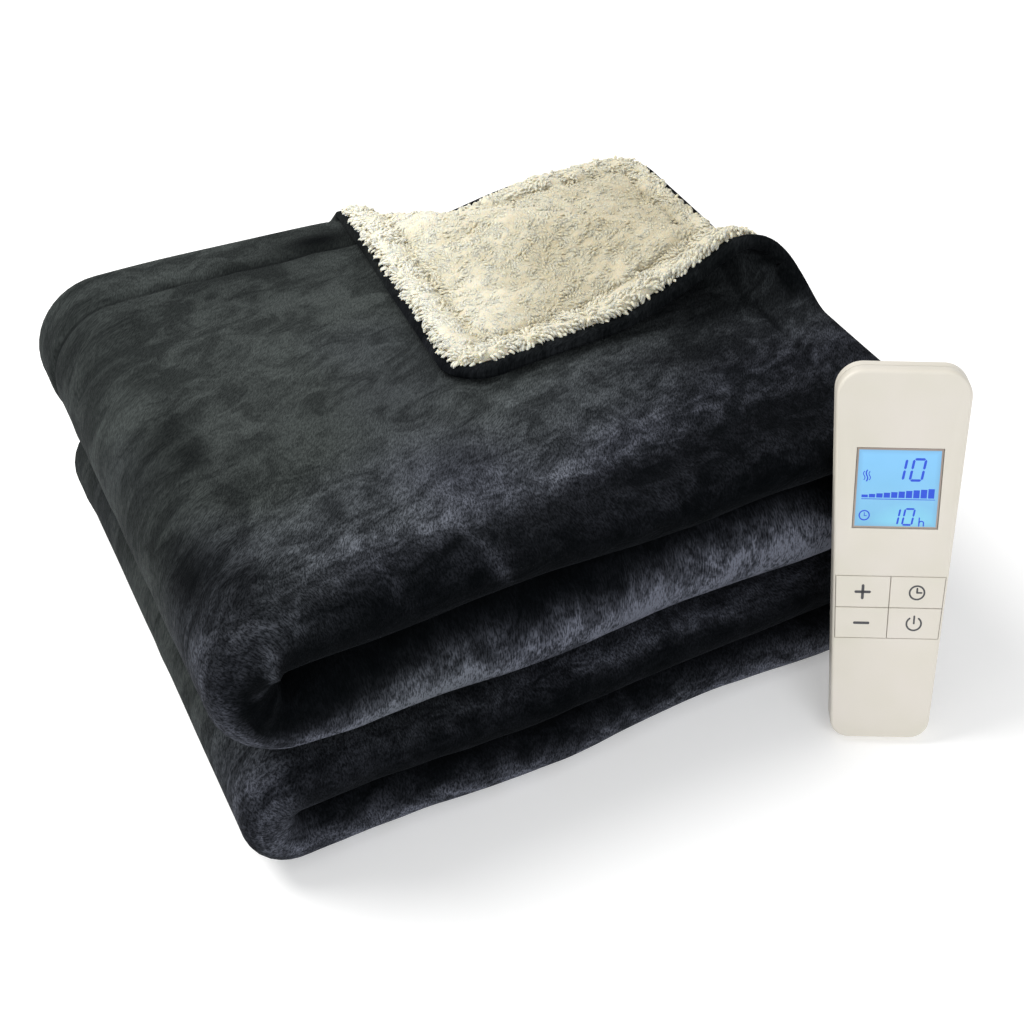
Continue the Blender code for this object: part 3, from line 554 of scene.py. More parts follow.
SHERPA_SPACING = {
    "top layer": Spacing(top=(3.6, 3.6), left=(9, 12), right=(9, 12), rest=(14, 14)),
    "lip root": Spacing(top=(8, 8), left=(8, 8), right=(9, 9), rest=(12, 12)),
    "lip": Spacing(top=(12, 4), left=(8, 4), right=(8, 4), rest=(14, 4)),
    "far layer": Spacing(top=(12, 14), left=(9, 14), right=(9, 14), rest=(14, 14)),
    "back crease": Spacing(top=(8, 2.6), left=(8, 2.6), right=(8, 2.6), rest=(12, 2.6)),
    "inner layer": Spacing(top=(12, 14), left=(9, 14), right=(9, 14), rest=(14, 14)),
    "inner crease": Spacing(top=(12, 2.6), left=(8, 2.6), right=(8, 2.6), rest=(14, 2.6)),
    "inmost layer": Spacing(top=(3.6, 3.6), left=(9, 12), right=(9, 12), rest=(14, 14)),
}
ALONG_KINDS = ("top", "left", "rest", "right", "rest", "left", "rest")


def across_bands():
    """The cut's bands over its width, as (kind, low station, high station)."""
    ends = [0.0, *ACROSS_ENDS]
    return [
        ("top layer", ends[0], ends[1] - LIP_ROOT),
        ("lip root", ends[1] - LIP_ROOT, ends[1]),
        ("lip", ends[1], ends[2]),
        ("lip root", ends[2], ends[2] + LIP_ROOT),
        ("far layer", ends[2] + LIP_ROOT, ends[3]),
        ("back crease", ends[3], ends[4]),
        ("inner layer", ends[4], ends[5]),
        ("inner crease", ends[5], ends[6]),
        ("inmost layer", ends[6], ends[7]),
    ]


def divided(low, high, step):
    return np.linspace(low, high, max(1, round((high - low) / step)) + 1)


def cut_distance(stations):
    """How far inside the cut's outline each point of stations lies, corners rounded."""
    middle = np.array([CUT_LENGTH, CUT_WIDTH]) / 2
    past = np.abs(stations - middle) - middle + CUT_CORNER_RADIUS
    return CUT_CORNER_RADIUS - np.where(
        (past > 0).all(axis=1), np.linalg.norm(np.maximum(past, 0), axis=1), past.max(axis=1)
    )


def rim(inset, near, end, far, start):
    """The cut's outline moved in by `inset`, as stations in order, with round corners.

    Its four sides come in that order, each as its stations along or across the cut.
    """
    radius = CUT_CORNER_RADIUS - inset
    low = CUT_CORNER_RADIUS
    high = np.array([CUT_LENGTH, CUT_WIDTH]) - CUT_CORNER_RADIUS
    quarter = np.linspace(0, math.pi / 2, RIM_CORNER_POINTS)

    def arc(centre, start):
        angle = start + quarter
        return np.column_stack([centre[0] + radius * np.cos(angle), centre[1] + radius * np.sin(angle)])

    def edge(fixed, values, axis):
        clear = RIM_CORNER_CLEAR
        values = values[(values > low + clear) & (values < high[axis] - clear)]
        other = np.full(len(values), fixed)
        return np.column_stack([values, other] if axis == 0 else [other, values])

    return np.vstack(
        [
            arc((low, low), math.pi),
            edge(inset, near, 0),
            arc((high[0], low), -math.pi / 2),
            edge(CUT_LENGTH - inset, end, 1),
            arc(high, 0.0),
            edge(CUT_WIDTH - inset, far[::-1], 0),
            arc((low, high[1]), math.pi / 2),
            edge(inset, start[::-1], 1),
        ]
    )


def fold_frame(stations):
    """How far along the corner's fold, and how far out of it, each top layer station is."""
    x = RUNS[0].right - stations[:, 0]
    y = RUNS[0].back - TOP_REACH * stations[:, 1] / LAYER_LEGS[0].length
    plan = np.column_stack([x, y]) - FOLD_FROM
    return plan @ FOLD_WAY, plan @ FOLD_OUT


def on_top_layer(stations):
    return (stations[:, 0] <= STACK_LEGS[0].length) & (stations[:, 1] <= LAYER_LEGS[0].length)


def in_bend(stations):
    way, out = fold_frame(stations)
    whole = bend_length(fold_radius(way))
    return on_top_layer(stations) & (out > -BEND_CLEAR[0]) & (out < whole + BEND_CLEAR[1])


def bend_rows():
    """Stations in rows along the corner's bend, square to its fold."""
    past = FOLD_MARGIN * FOLD_LENGTH
    way = divided(-past, FOLD_LENGTH + past, BEND_STATION)
    whole = bend_length(fold_radius(way))
    rows = []
    for line in range(BEND_ROWS + 1):
        plan = FOLD_FROM + np.outer(way, FOLD_WAY) + np.outer(whole * line / BEND_ROWS, FOLD_OUT)
        share = (RUNS[0].back - plan[:, 1]) / TOP_REACH
        rows.append(np.column_stack([RUNS[0].right - plan[:, 0], share * LAYER_LEGS[0].length]))
    return np.vstack(rows)


def flat_cut(spacing, start, insets, step, inside):
    """The flat cut from `start` inside its rim, divided into triangles of stations.

    The stations that pass the test `inside` are divided by `step`, and the others by spacing.
    """
    grids = []
    rim_alongs = []
    rim_acrosses = []
    along_ends = [0.0, *ALONG_ENDS]
    for number, kind in enumerate(ALONG_KINDS):
        for name, low, high in across_bands():
            apart, apart_across = getattr(spacing[name], kind)
            alongs = divided(along_ends[number], along_ends[number + 1], apart / 1000)
            acrosses = divided(low, high, apart_across / 1000)
            grids.append(np.array(np.meshgrid(alongs, acrosses)).reshape(2, -1).T)
            if low == 0.0:
                rim_alongs.append(alongs)
            if number == 0:
                rim_acrosses.append(acrosses)
    grid = np.unique(np.round(np.vstack(grids), 6), axis=0)
    finer = divided(0.0, ALONG_ENDS[1], step), divided(0.0, CUT_WIDTH, step)
    close = np.array(np.meshgrid(*finer)).reshape(2, -1).T
    close[:, 0] += step / 2 * (np.round(close[:, 1] / step) % 2)
    grid = np.vstack([grid[~inside(grid)], close[inside(close)]])
    grid = grid[(cut_distance(grid) > insets[-1] + step * FINE_CLEAR) & ~in_bend(grid)]
    rows = bend_rows()
    rows = rows[cut_distance(rows) > insets[-1] + ROWS_CLEAR]

    def side(axis, fixed):
        """The rim's stations on one side: the fine ones only where the cut is fine."""
        at = np.full(len(finer[axis]), fixed)
        tested = inside(np.column_stack([finer[0], at] if axis == 0 else [at, finer[1]]))
        plain = (rim_alongs, rim_acrosses)[axis]
        return np.unique(np.round(np.concatenate([*plain, finer[axis][tested]]), 4))

    depth = insets[-1]
    sides = side(0, depth), side(1, CUT_LENGTH - depth), side(0, CUT_WIDTH - depth), side(1, depth)
    outline = rim(start, *sides)
    rings = [rim(inset, *sides) for inset in insets]
    edges = [(n, (n + 1) % len(outline)) for n in range(len(outline))]
    points = np.vstack([outline, *rings, rows, grid])
    given = [Vector(point) for point in points]
    flat, _, triangles, _, _, _ = delaunay_2d_cdt(given, edges, [], 1, MERGED, False)
    flat = np.array([tuple(p) for p in flat])
    triangles = np.array([tuple(t) for t in triangles])
    a, b, c = (flat[triangles[:, n]] for n in range(3))
    area = (b[:, 0] - a[:, 0]) * (c[:, 1] - a[:, 1]) - (b[:, 1] - a[:, 1]) * (c[:, 0] - a[:, 0])
    triangles[area < 0] = triangles[area < 0][:, ::-1]
    return flat, triangles[np.abs(area) > LEAST_AREA]


def vertex_normals(points, triangles):
    a, b, c = (points[triangles[:, n]] for n in range(3))
    face = np.cross(b - a, c - a)
    normals = np.zeros_like(points)
    for n in range(3):
        np.add.at(normals, triangles[:, n], face)
    return normals / np.linalg.norm(normals, axis=1)[:, None]


def closed_sheet(name, points, stations, normals, triangles, outer, inner, finish):
    """A closed cloth between two offsets from the shared surface, outer to inner."""
    count = len(points)
    directed = {tuple(e) for n in range(3) for e in triangles[:, [n, (n + 1) % 3]].tolist()}
    border = [(a, b) for a, b in directed if (b, a) not in directed]
    walls = [(b, a, a + count) for a, b in border] + [(b, a + count, b + count) for a, b in border]
    vertices = np.vstack([points + normals * outer[:, None], points + normals * inner[:, None]])
    vertices[:, 2] = np.maximum(vertices[:, 2], 0)
    faces = np.vstack([triangles, triangles[:, ::-1] + count, np.array(walls)])
    obj = mesh_object(name, vertices, faces, finish)
    add_map(obj, np.vstack([stations, stations]))
    return obj


# -------------------------------------------------------------------------- shader maths
class Value:
    """A socket in an expression: each operator adds its Math node."""

    def __init__(self, tree, socket):
        self.tree = tree
        self.socket = socket

    def math(self, operation, *others):
        node = self.tree.nodes.new("ShaderNodeMath")
        node.operation = operation
        for slot, given in zip(node.inputs, (self, *others)):
            connect(self.tree, slot, given)
        return Value(self.tree, node.outputs[0])

    def __add__(self, other):
        return self.math("ADD", other)

    def __sub__(self, other):
        return self.math("SUBTRACT", other)

    def __mul__(self, other):
        return self.math("MULTIPLY", other)

    def __rsub__(self, other):
        return (self * -1.0) + other

    __radd__ = __add__
    __rmul__ = __mul__


def connect(tree, slot, given):
    if isinstance(given, Value):
        tree.links.new(given.socket, slot)
    elif given is not None:
        slot.default_value = given


class Finish:
    """A material under construction, with its Principled shader's constants set at once."""

    def __init__(self, name, constants):
        self.material = bpy.data.materials.new(name)
        self.material.use_nodes = True
        self.tree = self.material.node_tree
        self.shader = self.tree.nodes["Principled BSDF"]
        for socket, value in constants.items():
            self.shader.inputs[socket].default_value = value

    def node(self, kind, settings=(), inputs=(), output=0):
        made = self.tree.nodes.new(kind)
        for key, value in dict(settings).items():
            setattr(made, key, value)
        for key, value in dict(inputs).items():
            connect(self.tree, made.inputs[key], value)
        return Value(self.tree, made.outputs[output])

    def place(self, source, scale=(1, 1, 1), turn=(0, 0, 0), shift=(0, 0, 0)):
        """Object coordinates, or a UV map by name, through a Mapping node."""
        if source == "Object":
            found = self.node("ShaderNodeTexCoord", output="Object")
        else:
            found = self.node("ShaderNodeUVMap", {"uv_map": source})
        return self.node(
            "ShaderNodeMapping",
            inputs={"Vector": found, "Scale": scale, "Rotation": turn, "Location": shift},
        )

    def noise(self, place, scale, detail=2.0, roughness=0.5, distortion=0.0):
        return self.node(
            "ShaderNodeTexNoise",
            inputs={
                "Vector": place,
                "Scale": scale,
                "Detail": detail,
                "Roughness": roughness,
                "Distortion": distortion,
            },
        )

    def ramp(self, value, stops):
        """A number or colour for each stop of `value`."""
        node = self.tree.nodes.new("ShaderNodeValToRGB")
        elements = node.color_ramp.elements
        while len(elements) < len(stops):
            elements.new(0.5)
        for element, (position, colour) in zip(elements, stops):
            element.position = position
            element.color = (*colour, 1.0) if isinstance(colour, tuple) else (colour,) * 3 + (1.0,)
        connect(self.tree, node.inputs[0], value)
        return Value(self.tree, node.outputs[0])

    def mix(self, share, low, high):
        """A colour between two, each a link or an RGB triple."""
        node = self.tree.nodes.new("ShaderNodeMix")
        node.data_type = "RGBA"
        for slot, given in ((0, share), (6, low), (7, high)):  # the node's factor and colours
            wide = given if slot == 0 or isinstance(given, Value) else (*given, 1.0)
            connect(self.tree, node.inputs[slot], wide)
        return Value(self.tree, node.outputs[2])

    def attribute(self, name):
        return self.node("ShaderNodeAttribute", {"attribute_name": name}, output="Fac")

    def bump(self, height, distance, strength=1.0, normal=None):
        given = {"Height": height, "Distance": distance, "Strength": strength, "Normal": normal}
        return self.node("ShaderNodeBump", inputs=given)

    def feed(self, **links):
        """Links into the shader, with underscores for the spaces in a socket's name."""
        for key, value in links.items():
            connect(self.tree, self.shader.inputs[key.replace("_", " ")], value)
        return self.material


def flannel_finish(settings):
    """Dark brushed flannel: short nap in rows, brushed lighter and darker in patches."""
    f = Finish(
        "napped flannel",
        {
            "Specular IOR Level": 0.02,
            "Sheen Weight": settings.flannel_sheen,
            "Sheen Roughness": 0.35,
            "Sheen Tint": (0.70, 0.76, 0.88, 1.0),
        },
    )
    rows = f.noise(f.place("cut", (1.0, 0.34, 1.0)), 1250.0, 2.0, 0.7, 0.3)
    mottle = f.noise(f.place("cut", (1.0, 0.8, 1.0)), 115.0, 3.0, 0.6, 0.8)
    brushed = f.noise(f.place("cut", (1.0, 1.5, 1.0)), 42.0, 4.0, 0.65, 0.9)
    broad = f.noise(f.place("Object"), 11.0, 3.0, 0.55, 0.6)
    hue = f.noise(f.place("Object", shift=(3.1, 1.7, 0.4)), 9.0, 1.0)
    cool = f.attribute("cool")
    patches = f.ramp(brushed * 0.6 + broad * 0.4, ((0.44, 0.0), (0.57, 1.0)))
    strands = f.ramp(rows, ((0.40, 0.0), (0.60, 1.0)))
    mottled = f.ramp(mottle, ((0.40, 0.0), (0.60, 1.0)))
    blueness = f.ramp(hue * 0.5 + cool * 0.5, ((0.30, 0.0), (0.62, 1.0)))
    light = f.mix(blueness, settings.nap_green, settings.nap_blue)
    streaks = strands * (cool + 0.6) + 0.70 - cool * 0.4
    broadly = patches * (cool * 0.5 + 0.7) + 0.65 - cool * 0.25
    # The nap attribute brings the nap's tone with painted light and shade: a lit top, shaded lips, painted
    # sheen bands and highlights on ridges
    lit = f.attribute("nap") * broadly * streaks * (mottled * cool * 0.5 + 0.56 - cool * 0.25)
    colour = f.mix(lit, settings.flannel_dark, light)
    soft = f.bump(brushed * 0.6 + broad * 0.4, 0.007, 0.45)
    normal = f.bump(rows, 0.0008, 0.8, soft)
    return f.feed(Base_Color=colour, Roughness=0.92 - patches * 0.1, Normal=normal)


def sherpa_finish(settings, name, depth):
    """Cream curls with painted shade: paler on their crowns, tan in their hollows and at their roots,
    darker and tanner towards the right. `depth` is the bump's height.
    """
    f = Finish(
        name,
        {
            "Specular IOR Level": 0.15,
            "Sheen Weight": 0.2,
            "Sheen Roughness": 0.5,
            "Sheen Tint": (1.0, 0.93, 0.76, 1.0),
            "Subsurface Weight": 0.55,
            "Subsurface Radius": (0.0040, 0.0030, 0.0020),
            "Subsurface Scale": 1.0,
        },
    )
    fibres = f.noise(f.place("Object"), 900.0, 3.0, 0.6, 0.8)
    clumps = f.noise(f.place("Object"), 120.0, 3.0, 0.6, 0.8)
    broad = f.noise(f.place("Object"), 30.0, 2.0, 0.5, 0.8)
    level = fibres * 0.12 + clumps * 0.22 + broad * 0.34
    # Painted shade: darker in the relief's hollows (height) and at the tufts' roots (tip)
    level = level + f.attribute("height") * 0.35 + f.attribute("tip") * 0.08 - 0.03
    shade = f.ramp(level, ((0.36, 0.0), (0.64, 1.0)))
    # The warm attribute carries painted light and shade: paler at the lit left and on the rolls, darker and
    # tanner towards the right and back
    warm = f.attribute("warm")
    light = f.mix(warm, settings.sherpa_cream, settings.sherpa_shaded_crown)
    low = f.mix(warm, settings.sherpa_shaded_hollow, settings.sherpa_shadiest_hollow)
    return f.feed(Base_Color=f.mix(shade, low, light), Roughness=0.9, Normal=f.bump(fibres, depth, 0.8))


# -------------------------------------------------------------------- Geometry Nodes help
class Tree:
    """A Geometry Nodes tree under construction, with named inputs for its sizes."""

    def __init__(self, name):
        self.tree = bpy.data.node_groups.new(name, "GeometryNodeTree")
        self.tree.interface.new_socket("Geometry", in_out="INPUT", socket_type="NodeSocketGeometry")
        self.tree.interface.new_socket("Geometry", in_out="OUTPUT", socket_type="NodeSocketGeometry")
        self.given = {}

    def takes(self, name, kind, value):
        socket = self.tree.interface.new_socket(name, in_out="INPUT", socket_type=kind)
        self.given[name] = (socket.identifier, value)

    def start(self):
        self.source = self.tree.nodes.new("NodeGroupInput")
        return self.source.outputs

    def add(self, kind, settings=(), inputs=()):
        made = self.tree.nodes.new(kind)
        for key, value in dict(settings).items():
            setattr(made, key, value)
        for key, value in dict(inputs).items():
            if isinstance(value, bpy.types.NodeSocket):
                self.tree.links.new(value, made.inputs[key])
            else:
                made.inputs[key].default_value = value
        return made.outputs

    def end(self, geometry):
        target = self.tree.nodes.new("NodeGroupOutput")
        self.tree.links.new(geometry, target.inputs[0])

    def applied(self, source, name):
        """A plain mesh object of what the tree makes of `source`, which is removed."""
        modifier = source.modifiers.new(name, "NODES")
        modifier.node_group = self.tree
        for identifier, value in self.given.values():
            modifier[identifier] = value
        shown = source.evaluated_get(bpy.context.evaluated_depsgraph_get())
        mesh = bpy.data.meshes.new_from_object(shown)
        bpy.data.objects.remove(source, do_unlink=True)
        return link(bpy.data.objects.new(name, mesh))


TUFT_SIDES, TUFT_RINGS = 4, 3
TUFT_FLATNESS = 0.70
TUFT_CURL = 2.5  # how far a tuft curls over, in radians
TUFT_TAPER = 0.6  # how bluntly it narrows to its tip
TUFT_ROOT, TUFT_BELLY = 0.75, 0.6  # its width at the root, and how much fuller it gets
TUFT_STRAY = 0.25  # how far its direction strays
TUFT_SIZES = (0.7, 1.3)
CORNER_RIM_SIZE, LAYER_RIM_SIZE = 1.35, 1.1  # how much larger the tufts are at the rim
GROUND_BUMP, TUFT_BUMP = 0.0012, 0.0005


def tuft_shape(sides, rings, radius, length, curl):
    """One curly tuft: a flattened, tapering lock that grows along Z and curls over towards X."""
    vertices = []
    tips = []
    for ring in range(rings):
        share = ring / rings
        angle = curl * share
        centre = np.array([length * (1 - math.cos(angle)) / curl, 0, length * math.sin(angle) / curl])
        across = np.array([math.cos(angle), 0, -math.sin(angle)])
        belly = TUFT_ROOT + TUFT_BELLY * math.sin(math.pi * share)
        wide = radius * (1 - share) ** TUFT_TAPER * belly
        for side in range(sides):
            turn = 2 * math.pi * side / sides
            round_it = TUFT_FLATNESS * math.cos(turn) * across + math.sin(turn) * np.array([0, 1, 0])
            vertices.append(centre + wide * round_it)
            tips.append(share)
    vertices.append([length * (1 - math.cos(curl)) / curl, 0, length * math.sin(curl) / curl])
    tips.append(1.0)
    faces = []
    for ring in range(rings - 1):
        low = ring * sides
        for side in range(sides):
            after = (side + 1) % sides
            faces.append((low + side, low + after, low + sides + after))
            faces.append((low + side, low + sides + after, low + sides + side))
    last = (rings - 1) * sides
    faces += [(last + n, last + (n + 1) % sides, last + sides) for n in range(sides)]
    obj = mesh_object("tuft", vertices, faces)
    point_attribute(obj, "tip", "FLOAT", tips)
    return obj


def grow_tufts(name, ground, density, seed, finish, shape):
    """Tufts scattered over `ground`, which grow along its `grow` attribute."""
    t = Tree("pile tufts")
    t.takes("Density", "NodeSocketFloat", density)
    t.takes("Seed", "NodeSocketInt", seed)
    t.takes("Tuft", "NodeSocketObject", shape)
    t.takes("Finish", "NodeSocketMaterial", finish)
    given = t.start()
    cover = t.add("GeometryNodeInputNamedAttribute", inputs={"Name": "cover"})
    amount = t.add("ShaderNodeMath", {"operation": "MULTIPLY"}, {0: cover[0], 1: given["Density"]})
    points = t.add(
        "GeometryNodeDistributePointsOnFaces",
        inputs={"Mesh": given["Geometry"], "Density": amount[0], "Seed": given["Seed"]},
    )
    grow, lay = (
        t.add("GeometryNodeInputNamedAttribute", {"data_type": "FLOAT_VECTOR"}, {"Name": name})
        for name in ("grow", "lay")
    )
    stray = t.add(
        "FunctionNodeRandomValue",
        {"data_type": "FLOAT_VECTOR"},
        {"Min": (-TUFT_STRAY,) * 3, "Max": (TUFT_STRAY,) * 3, "Seed": given["Seed"]},
    )
    way = t.add("ShaderNodeVectorMath", {"operation": "ADD"}, {0: grow[0], 1: stray[0]})
    over = t.add("ShaderNodeVectorMath", {"operation": "ADD"}, {0: lay[0], 1: stray[0]})
    stand = t.add("FunctionNodeAlignRotationToVector", {"axis": "Z"}, {"Vector": way[0]})
    turned = t.add(
        "FunctionNodeAlignRotationToVector",
        {"axis": "X", "pivot_axis": "Z"},
        {"Rotation": stand[0], "Vector": over[0]},
    )
    small, large = TUFT_SIZES
    spread = t.add("FunctionNodeRandomValue", {"data_type": "FLOAT"}, {2: small, 3: large, "Seed": 9})
    here = t.add("GeometryNodeInputNamedAttribute", inputs={"Name": "size"})
    size = t.add("ShaderNodeMath", {"operation": "MULTIPLY"}, {0: spread[1], 1: here[0]})
    lock = t.add("GeometryNodeObjectInfo", inputs={"Object": given["Tuft"]})
    placed = t.add(
        "GeometryNodeInstanceOnPoints",
        inputs={
            "Points": points["Points"],
            "Instance": lock["Geometry"],
            "Rotation": turned[0],
            "Scale": size[0],
        },
    )
    real = t.add("GeometryNodeRealizeInstances", inputs={0: placed[0]})
    done = t.add("GeometryNodeSetMaterial", inputs={"Geometry": real[0], "Material": given["Finish"]})
    t.end(done[0])
    made = t.applied(ground, name)
    bpy.data.objects.remove(shape, do_unlink=True)
    return made


# ----------------------------------------------------------------------- the flannel's nap, with its painted light and shade
# Painted light and shade on each run's front lip, from its underside (-1) over its belly to its top:
# painted sheen low down, painted shade on the belly and under the lip above
LIP_LEVELS = (-1.0, -0.80, -0.6, -0.2, 0.15, 0.5, 0.8, 1.0)
LIP_PAINTED_LIGHT = (
    (0.10, 0.04, 0.010, 0.010, 0.015, 0.03, 0.08, 0.25),
    (0.80, 1.05, 1.26, 1.04, 0.42, 0.05, 0.01, 0.01),
    (0.25, 0.10, 0.03, 0.02, 0.02, 0.03, 0.08, 0.18),
    (0.80, 1.10, 1.00, 0.70, 0.35, 0.12, 0.04, 0.03),
)
SUNK_LIP, SUNK_BY = 1, 0.6  # the second lip's painted sheen sinks by this towards its left end
SUNK_FROM, SUNK_SPAN = 0.415, 0.10
# Painted light: the top layer is painted lightest, less so towards its right end, and the left turn's
# outside, towards the light, lighter than the right one's
TOP_PAINTED_LIGHT = 0.52
TOP_RIGHT_SHARE, TOP_RISE = 0.25, 0.22  # the share of it at the right end, and where it is full
SIDE_PAINTED_LIGHT = 0.34
RIGHT_PAINTED_LIGHT = 0.22
LAYER_FROM, LAYER_SPAN = -0.2, 1.2  # the levels between which a turn's painted light becomes its side's
TURN_EASE = 5.6  # how fast a turn's painted light goes over to its runs', in shares of the turn
DUSK_START, DUSK_SLOPE = 0.268, 0.12  # where the top's painted light ends in painted shade, as a line over `along`
DUSK_LEAD, DUSK_SPAN = 0.008, 0.026
DUSK_PAINTED_SHADE = 0.06
SIDE_START, SIDE_SPAN = 0.325, 0.060  # where the top's painted light goes over to the left side's
SEAM_SHADE, SEAM_SHADE_WIDTH = 0.6, 0.0019  # painted shade: how much darker the sewn line's groove is
HEM_NAP = 0.09  # of the turned corner's hem
HEM_NAP_END, HEM_NAP_FADE = 0.014, 0.004
NAP_LEAST, NAP_MOST = 0.01, 2.2
NAP_SLANT = math.radians(32)  # of the top's nap, from the across axis
NAP_BEND = (0.05, 0.01)  # from where before the lip, to where in it, the nap straightens
NAP_STRAY = (Lumps(0.006, 0.05, 31), Lumps(0.0016, 0.016, 32))
COOL_FRONT = (0.18, 0.16, 0.8)  # where the blue nap starts over `across`, its span and strength
COOL_RIGHT = (0.25, 0.25, 0.4)  # and how far from the right end it reaches

# Where the nap is brushed lighter (over 0) or darker, with painted highlights along ridges and painted
# shadows among them, listed as the creases are.
# The columns: along, across, turned, length, width, light.
NAP_AND_LIGHT_STROKES = (
    (0.367, 0.164, 70, 0.030, 0.010, -0.26),
    (0.362, 0.190, 20, 0.020, 0.012, -0.22),
    (0.345, 0.223, 60, 0.030, 0.012, -0.16),
    (0.381, 0.262, 90, 0.060, 0.011, -0.32),
    (0.368, 0.300, 75, 0.050, 0.010, -0.25),
    (0.232, 0.024, 0, 0.070, 0.014, -0.48),
    (0.238, 0.262, 20, 0.012, 0.004, -0.25),
    (0.290, 0.205, 15, 0.110, 0.020, -0.10),
    (0.290, 0.050, 0, 0.140, 0.026, -0.16),
    (0.290, 0.294, 170, 0.060, 0.010, 0.16),
    (0.382, 0.130, 90, 0.070, 0.030, 0.10),
    (0.396, 0.316, 20, 0.060, 0.012, 0.10),
    (0.030, 0.215, 90, 0.090, 0.035, 0.24),
    (0.205, 0.285, 172, 0.060, 0.010, 0.22),
    (0.150, 0.222, 12, 0.080, 0.012, 0.16),
    (1.175, 0.350, 0, 0.050, 0.012, 0.24),
    (1.090, 0.328, 10, 0.110, 0.014, 0.04),
    (0.930, 0.322, 0, 0.150, 0.007, 0.20),
    (0.700, 0.346, 0, 0.110, 0.008, 0.40),
    (0.200, 0.236, 135, 0.026, 0.004, 0.25),
    (0.312, 0.298, 100, 0.045, 0.004, 0.25),
    (0.258, 0.322, 110, 0.036, 0.003, 0.35),
    (0.204, 0.297, 170, 0.030, 0.005, 0.30),
    (0.150, 0.270, 20, 0.090, 0.014, 0.12),
    (0.090, 0.235, 0, 0.070, 0.030, -0.10),
    (0.385, 0.342, 90, 0.050, 0.018, -0.10),
    (0.404, 0.340, 80, 0.060, 0.014, -0.14),
    (0.376, 0.346, 60, 0.030, 0.003, 0.35),
    (0.392, 0.349, 110, 0.022, 0.003, 0.30),
)


def lip_light_and_shade(run, level, along):
    """The painted light and shade of a lip; towards its left end the second lip's painted sheen lies only
    at its foot.
    """
    if run == SUNK_LIP:
        level = level + SUNK_BY * (1 - smoothstep((along - SUNK_FROM) / SUNK_SPAN))
    return np.interp(level, LIP_LEVELS, LIP_PAINTED_LIGHT[run])


def strokes(stations, table, softness):
    """The sum of hand-placed strokes at each station; the last column is their strength."""
    total = np.zeros(len(stations))
    for along, across, turned, length, width, strength in table:
        way = np.array([math.cos(math.radians(turned)), math.sin(math.radians(turned))])
        away = stations - np.array([along, across])
        reach = np.exp(-(np.abs(away @ way / (length / 2)) ** softness))
        total += strength * reach * np.exp(-(((away @ np.array([-way[1], way[0]])) / width) ** 2))
    return total


def nap_tone_and_painted_light(stations):
    """How light the flannel is painted at each station: its nap's tone with painted light and shade, dark
    at 0, its full colour at 1.
    """
    along, across = stations.T
    leg, share = leg_of(STACK_LEGS, along)
    crease, turned = leg_of(LAYER_LEGS, across)
    level = np.cos(math.pi * np.where(crease == 1, turned, crease >= 2))
    nap = np.zeros(len(stations))
    for number, part in enumerate(STACK_LEGS):
        here = leg == number
        run = number // 2
        value = lip_light_and_shade(run, level[here] * part.faces, along[here])
        if part.side:
            after = lip_light_and_shade(run + 1, -level[here] * part.faces, along[here])
            value = value + (after - value) * share[here]
            layer = SIDE_PAINTED_LIGHT if part.side < 0 else RIGHT_PAINTED_LIGHT
            outside = smoothstep((level[here] * part.faces - LAYER_FROM) / LAYER_SPAN)
            starts = 1.0 if number == 1 else smoothstep(TURN_EASE * share[here])
            ends = smoothstep(TURN_EASE * (1 - share[here]))
            value = value + (layer - value) * outside * starts * ends
        nap[here] = value
    nap[(leg % 4 == 1) & (crease == 0)] = SIDE_PAINTED_LIGHT
    near = (leg <= 1) & (crease <= 1)
    dusk = smoothstep((across - DUSK_START - DUSK_SLOPE * along + DUSK_LEAD) / DUSK_SPAN)
    top = TOP_PAINTED_LIGHT * (TOP_RIGHT_SHARE + (1 - TOP_RIGHT_SHARE) * smoothstep(along / TOP_RISE))
    lip = lip_light_and_shade(0, level, along)
    top = top + (np.minimum(lip, DUSK_PAINTED_SHADE) - top) * dusk
    beside = lip + (SIDE_PAINTED_LIGHT - lip) * smoothstep((level - LAYER_FROM) / LAYER_SPAN)
    side = np.where(leg == 1, nap, beside)
    side = top + (side - top) * smoothstep((along - SIDE_START) / SIDE_SPAN)
    nap[near] = side[near]
    # The nap's brushed patches, with painted highlights on ridges and painted shadows
    nap += strokes(stations, NAP_AND_LIGHT_STROKES, BRUSH_ENDS)
    # Painted shade in the sewn line's groove
    nap *= 1 - SEAM_SHADE * np.exp(-((past_seam(stations) / SEAM_SHADE_WIDTH) ** 2))
    hem = turned_over(stations) * smoothstep((HEM_NAP_END - cut_distance(stations)) / HEM_NAP_FADE)
    nap += (HEM_NAP - nap) * hem
    return np.clip(nap, NAP_LEAST, NAP_MOST)


def nap_coolness(stations):
    """How blue the nap is: most on the front lips and at the right end."""
    along, across = stations.T
    start, span, strength = COOL_FRONT
    front = smoothstep((across - start) / span) * strength
    reach, span, strength = COOL_RIGHT
    return np.clip(front + smoothstep((reach - along) / span) * strength, 0, 1)


def nap_lie(stations):
    """A map whose second axis runs with the nap: aslant on top, straight down on the lips."""
    along, across = stations.T
    start, full = ACROSS_ENDS[0] - NAP_BEND[0], ACROSS_ENDS[0] + NAP_BEND[1]
    past = (across - start) / (full - start)
    left = (full - across) / (full - start)
    eased = smoothstep(past) / 2 * np.clip(left, 0, 1) + np.clip(past, 0, 1) / 2
    bent = np.clip(across, 0, start) + (full - start) * eased
    strayed = uneven(stations, NAP_STRAY)
    return np.column_stack([along - math.tan(NAP_SLANT) * bent + strayed, across])


# ------------------------------------------------------------------------ the flannel cloth
def turned_over(stations):
    """0 off the turned corner, rising to 1 a little out of its fold."""
    return smoothstep(fold_frame(stations)[1] / FLAP_EASE) * on_top_layer(stations)


